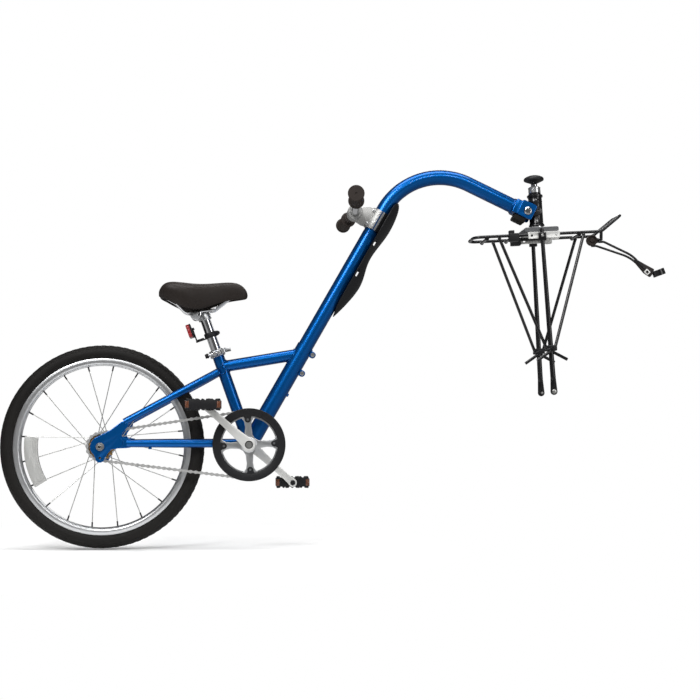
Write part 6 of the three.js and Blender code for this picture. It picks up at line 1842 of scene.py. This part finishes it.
def make_guard_plate(size):
    across = 12
    points, faces = [], []
    clear = size.radius + size.guard_thick + 3.6
    for place, depth, width in GUARD_SHARES:
        reach = size.guard_widest * width
        middle = size.guard_deepest * depth
        aside = math.sqrt(max(clear * clear - reach * reach, 0))
        edge = min(max(size.guard_edge, aside), middle)
        for k in range(across + 1):
            share = 2 * k / across - 1
            drop = edge + (middle - edge) * (1 - share * share)
            points.append(on_tow(size.guard_bottom + size.guard_length * place, -drop, reach * share))
    for i in range(len(GUARD_SHARES) - 1):
        for k in range(across):
            a = i * (across + 1) + k
            faces.append((a, a + 1, a + across + 2, a + across + 1))
    plate = edit(
        mesh_piece("spray_plate", points, faces), bpy.ops.mesh.normals_make_consistent, inside=False)
    normal = plate.data.polygons[len(plate.data.polygons) // 2].normal
    plate.modifiers.new("Smooth", "SUBSURF").levels = 2
    thick = plate.modifiers.new("Thickness", "SOLIDIFY")
    thick.thickness = size.guard_thick * MM
    thick.offset = 1 if normal.dot(TOW_UP) > 0 else -1
    apply_all(plate)
    slot_middles = (493, 580)
    for middle in slot_middles:
        half = size.slot_length / 2
        gap = rectangle(middle - half, -19 - size.slot_depth, middle + half, -19)
        boolean(plate, slab("slot", gap, BRACKET, TOW, TOW_UP, -60, 60))
    smooth(bevel(plate, 0.4, 1, 50), 40)
    dress(outward(plate), "black_plastic", "bar_clamp", "spray_guard")


def make_handlebar(size):
    def place(back, across, rise):
        return moved(BAR, -back, across, rise)

    half, bend = size.bar_half, 108
    corners = [
        place(size.bar_sweep, -half, size.bar_rise), place(3, -bend, size.bar_rise), place(0, -48, 0),
        place(0, 48, 0), place(3, bend, size.bar_rise), place(size.bar_sweep, half, size.bar_rise)]
    bar = tube("handlebar_tube", rounded(corners, 60, 10), size.bar_radius, sides=12)
    dress(bar, "chrome", "bar", "handlebar")
    for side, sign in SIDES:
        corner = place(3, sign * bend, size.bar_rise)
        end = place(size.bar_sweep, sign * half, size.bar_rise)
        along = (end - corner).normalized()
        inner = corner + along * (size.grip_inner - bend) * MM
        reach = (end - inner).length / MM + 3.2
        radius, flange = size.grip_radius, size.flange_radius
        profile = [
            (11.2, 0), (flange - 1.4, 0), (flange, 1.3), (flange, 2.8), (flange - 1.4, 4.1),
            (radius - 0.6, 5.4)]
        ribs = 16
        pitch = (reach - 13) / ribs
        for k in range(ribs):
            low = 6.2 + pitch * k
            swell = 0.5 * math.sin(math.pi * (k + 0.5) / ribs)
            profile += [
                (radius - 1.0 + swell, low + 0.25 * pitch), (radius + 0.1 + swell, low + 0.5 * pitch),
                (radius + 0.1 + swell, low + 0.8 * pitch), (radius - 1.0 + swell, low + pitch)]
        profile += [
            (radius - 0.6, reach - 6), (flange - 0.8, reach - 5), (flange, reach - 3.6),
            (flange, reach - 1.6), (flange - 1.6, reach), (2.4, reach), (2.2, reach - 2), (0, reach - 2)]
        grip = turned("ribbed_grip_" + side, profile, inner, along, 56)
        dress(grip, "dark_rubber", "bar", "grip_" + side)


class TRAILERBIKE_OT_tow(Operator):
    """Models the tow tube, its yoke and bolt, the bar clamp, the spray guard, the handlebar and its grips"""
    bl_idname = "trailer_bike.tow"
    bl_label = "Tow tube and handlebar"

    def execute(self, context):
        size = sizes("tow")
        make_tow_tube(size)
        make_yoke(size)
        make_pitch_bolt(size)
        make_bar_clamp(size)
        make_guard_plate(size)
        make_handlebar(size)
        return {"FINISHED"}


# The stage
class StageSizes(PropertyGroup):
    camera_place: FloatVectorProperty(
        name="Camera place", description="Where the camera stands", default=(-0.7034, -3.3, -0.0808),
        unit="LENGTH", subtype="XYZ", size=3)
    camera_aim: FloatVectorProperty(
        name="Camera aim", description="The point in the middle of the picture",
        default=(-0.4888, 0.0, 0.1028), unit="LENGTH", subtype="XYZ", size=3)
    camera_lens: FloatProperty(name="Lens", description="Focal length in millimetres", default=69.5)
    floor_drop: length("Floor drop", "Gap from the lowest point down to the floor", 1)


def aimed(name, data, place, aim):
    """A camera or a lamp at a place, turned to look at a point."""
    seat = add_object(name, data)
    seat.location = place
    seat.rotation_euler = (Vector(aim) - Vector(place)).to_track_quat("-Z", "Y").to_euler()
    return seat


def area_light(name, place, aim, width, height, power):
    light = bpy.data.lights.new(name, "AREA")
    light.shape = "RECTANGLE"
    light.size, light.size_y, light.energy = width, height, power
    return aimed(name, light, place, aim)


def build_world():
    """A world that is white to the camera and dimmer in every other ray."""
    world = bpy.data.worlds.new("Studio")
    bpy.context.scene.world = world
    world.use_nodes = True
    tree = world.node_tree
    tree.nodes.clear()
    path = put(tree, "LightPath")
    dimmed = math_node(tree, "MULTIPLY", path["Is Glossy Ray"], 0.27)
    fill = put(tree, "Background", {"Color": WHITE, "Strength": math_node(tree, "SUBTRACT", 0.36, dimmed)})
    seen = put(tree, "Background", {"Color": WHITE, "Strength": 1})
    kinds = math_node(tree, "MAXIMUM", path["Is Camera Ray"], path["Is Transmission Ray"])
    shown = put(tree, "MixShader", {"Fac": kinds, 1: fill["Background"], 2: seen["Background"]})
    put(tree, "OutputWorld", {"Surface": shown["Shader"]})


def build_floor(size):
    """A pale floor that fades to plain white away from the bike."""
    tidy_selection()
    bpy.ops.mesh.primitive_plane_add(size=14, location=(0, 0, CAD_BOX[0][2] - size.floor_drop * MM))
    floor = bpy.context.view_layer.objects.active
    floor.name = "floor"
    material = bpy.data.materials.new("floor")
    material.use_nodes = True
    tree = material.node_tree
    shader = tree.nodes["Principled BSDF"]
    place = put(tree, "TexCoord")["Object"]
    mottle = put(tree, "TexNoise", {"Vector": place, "Scale": 3})["Fac"]
    tint = mixed(tree, mottle, (0.9, 0.9, 0.9, 1), (0.94, 0.94, 0.94, 1))
    feed(tree, shader.inputs, {"Base Color": tint, "Roughness": 0.7})
    away = put(tree, "VectorMath", {0: place, 1: (HUB.x, 0, 0)}, operation="DISTANCE")["Value"]
    fade = math_node(tree, "MULTIPLY", math_node(tree, "SUBTRACT", away, 0.25), 1.6, True)
    unseen = math_node(tree, "SUBTRACT", 1, put(tree, "LightPath")["Is Camera Ray"])
    strength = math_node(tree, "SUBTRACT", 1, math_node(tree, "MULTIPLY", unseen, 0.65))
    glow = put(tree, "Emission", {"Color": WHITE, "Strength": strength})
    shown = put(tree, "MixShader", {"Fac": fade, 1: shader.outputs["BSDF"], 2: glow["Emission"]})
    feed(tree, tree.nodes["Material Output"].inputs, {"Surface": shown["Shader"]})
    floor.data.materials.append(material)


class TRAILERBIKE_OT_stage(Operator):
    """Sets the camera, the soft lights, the white background and the pale floor"""
    bl_idname = "trailer_bike.stage"
    bl_label = "Stage"

    def execute(self, context):
        settings = context.scene.trailer_bike.stage
        camera = bpy.data.cameras.new("Camera")
        camera.lens = settings.camera_lens
        camera.clip_end = 30
        context.scene.camera = aimed("Camera", camera, settings.camera_place, settings.camera_aim)
        context.scene.view_settings.view_transform = "Standard"
        build_world()
        build_floor(sizes("stage"))
        middle = (-0.5, 0, 0.1)
        area_light("key", (-2.2, -2.8, 2.6), middle, 1.5, 1.5, 90)
        area_light("fill", (2.4, -2.8, 1.0), middle, 1.2, 2.2, 30)
        area_light("top", (-0.5, -0.4, 3.2), middle, 3.4, 1.2, 85)
        area_light("strip", (0.2, -2.9, 2.1), (-0.25, 0, 0.5), 1.5, 0.22, 20)
        area_light("back", (0.4, 2.8, 1.8), middle, 2.4, 1.4, 30)
        return {"FINISHED"}


class TrailerBikeSettings(PropertyGroup):
    wheel: PointerProperty(type=WheelSizes, name="Wheel", description="Sizes of the rear wheel")
    drive: PointerProperty(type=DriveSizes, name="Drivetrain", description="Sizes of the drivetrain")
    frame: PointerProperty(type=FrameSizes, name="Frame", description="Sizes of the welded frame")
    seat: PointerProperty(
        type=SeatSizes, name="Seat", description="Sizes of the seat post, the reflector and the saddle")
    tow: PointerProperty(
        type=TowSizes, name="Tow tube",
        description="Sizes of the tow tube, the clamp, the guard and the handlebar")
    rack: PointerProperty(
        type=RackSizes, name="Rack and hitch", description="Sizes of the rack and of the hitch on it")
    stage: PointerProperty(type=StageSizes, name="Stage", description="The camera and the floor")


STEPS = ("wheel", "drivetrain", "frame", "seat", "tow", "rack", "stage")


class TRAILERBIKE_PT_panel(Panel):
    """Buttons that build the trailer bike piece by piece"""
    bl_label = "Trailer bike"
    bl_idname = "TRAILERBIKE_PT_panel"
    bl_space_type = "VIEW_3D"
    bl_region_type = "UI"
    bl_category = "Trailer bike"

    def draw(self, context):
        for step in STEPS:
            self.layout.operator("trailer_bike." + step)


CLASSES = (
    WheelSizes, DriveSizes, FrameSizes, SeatSizes, TowSizes, RackSizes, StageSizes, TrailerBikeSettings,
    TRAILERBIKE_OT_wheel, TRAILERBIKE_OT_drivetrain, TRAILERBIKE_OT_frame, TRAILERBIKE_OT_seat,
    TRAILERBIKE_OT_tow, TRAILERBIKE_OT_rack, TRAILERBIKE_OT_stage, TRAILERBIKE_PT_panel)


def register():
    for kind in CLASSES:
        bpy.utils.register_class(kind)
    bpy.types.Scene.trailer_bike = PointerProperty(type=TrailerBikeSettings)


def unregister():
    del bpy.types.Scene.trailer_bike
    for kind in reversed(CLASSES):
        bpy.utils.unregister_class(kind)


def main():
    register()
    tidy_selection()
    build_finishes()
    for step in STEPS:
        getattr(bpy.ops.trailer_bike, step)()


if __name__ == "__main__":
    main()
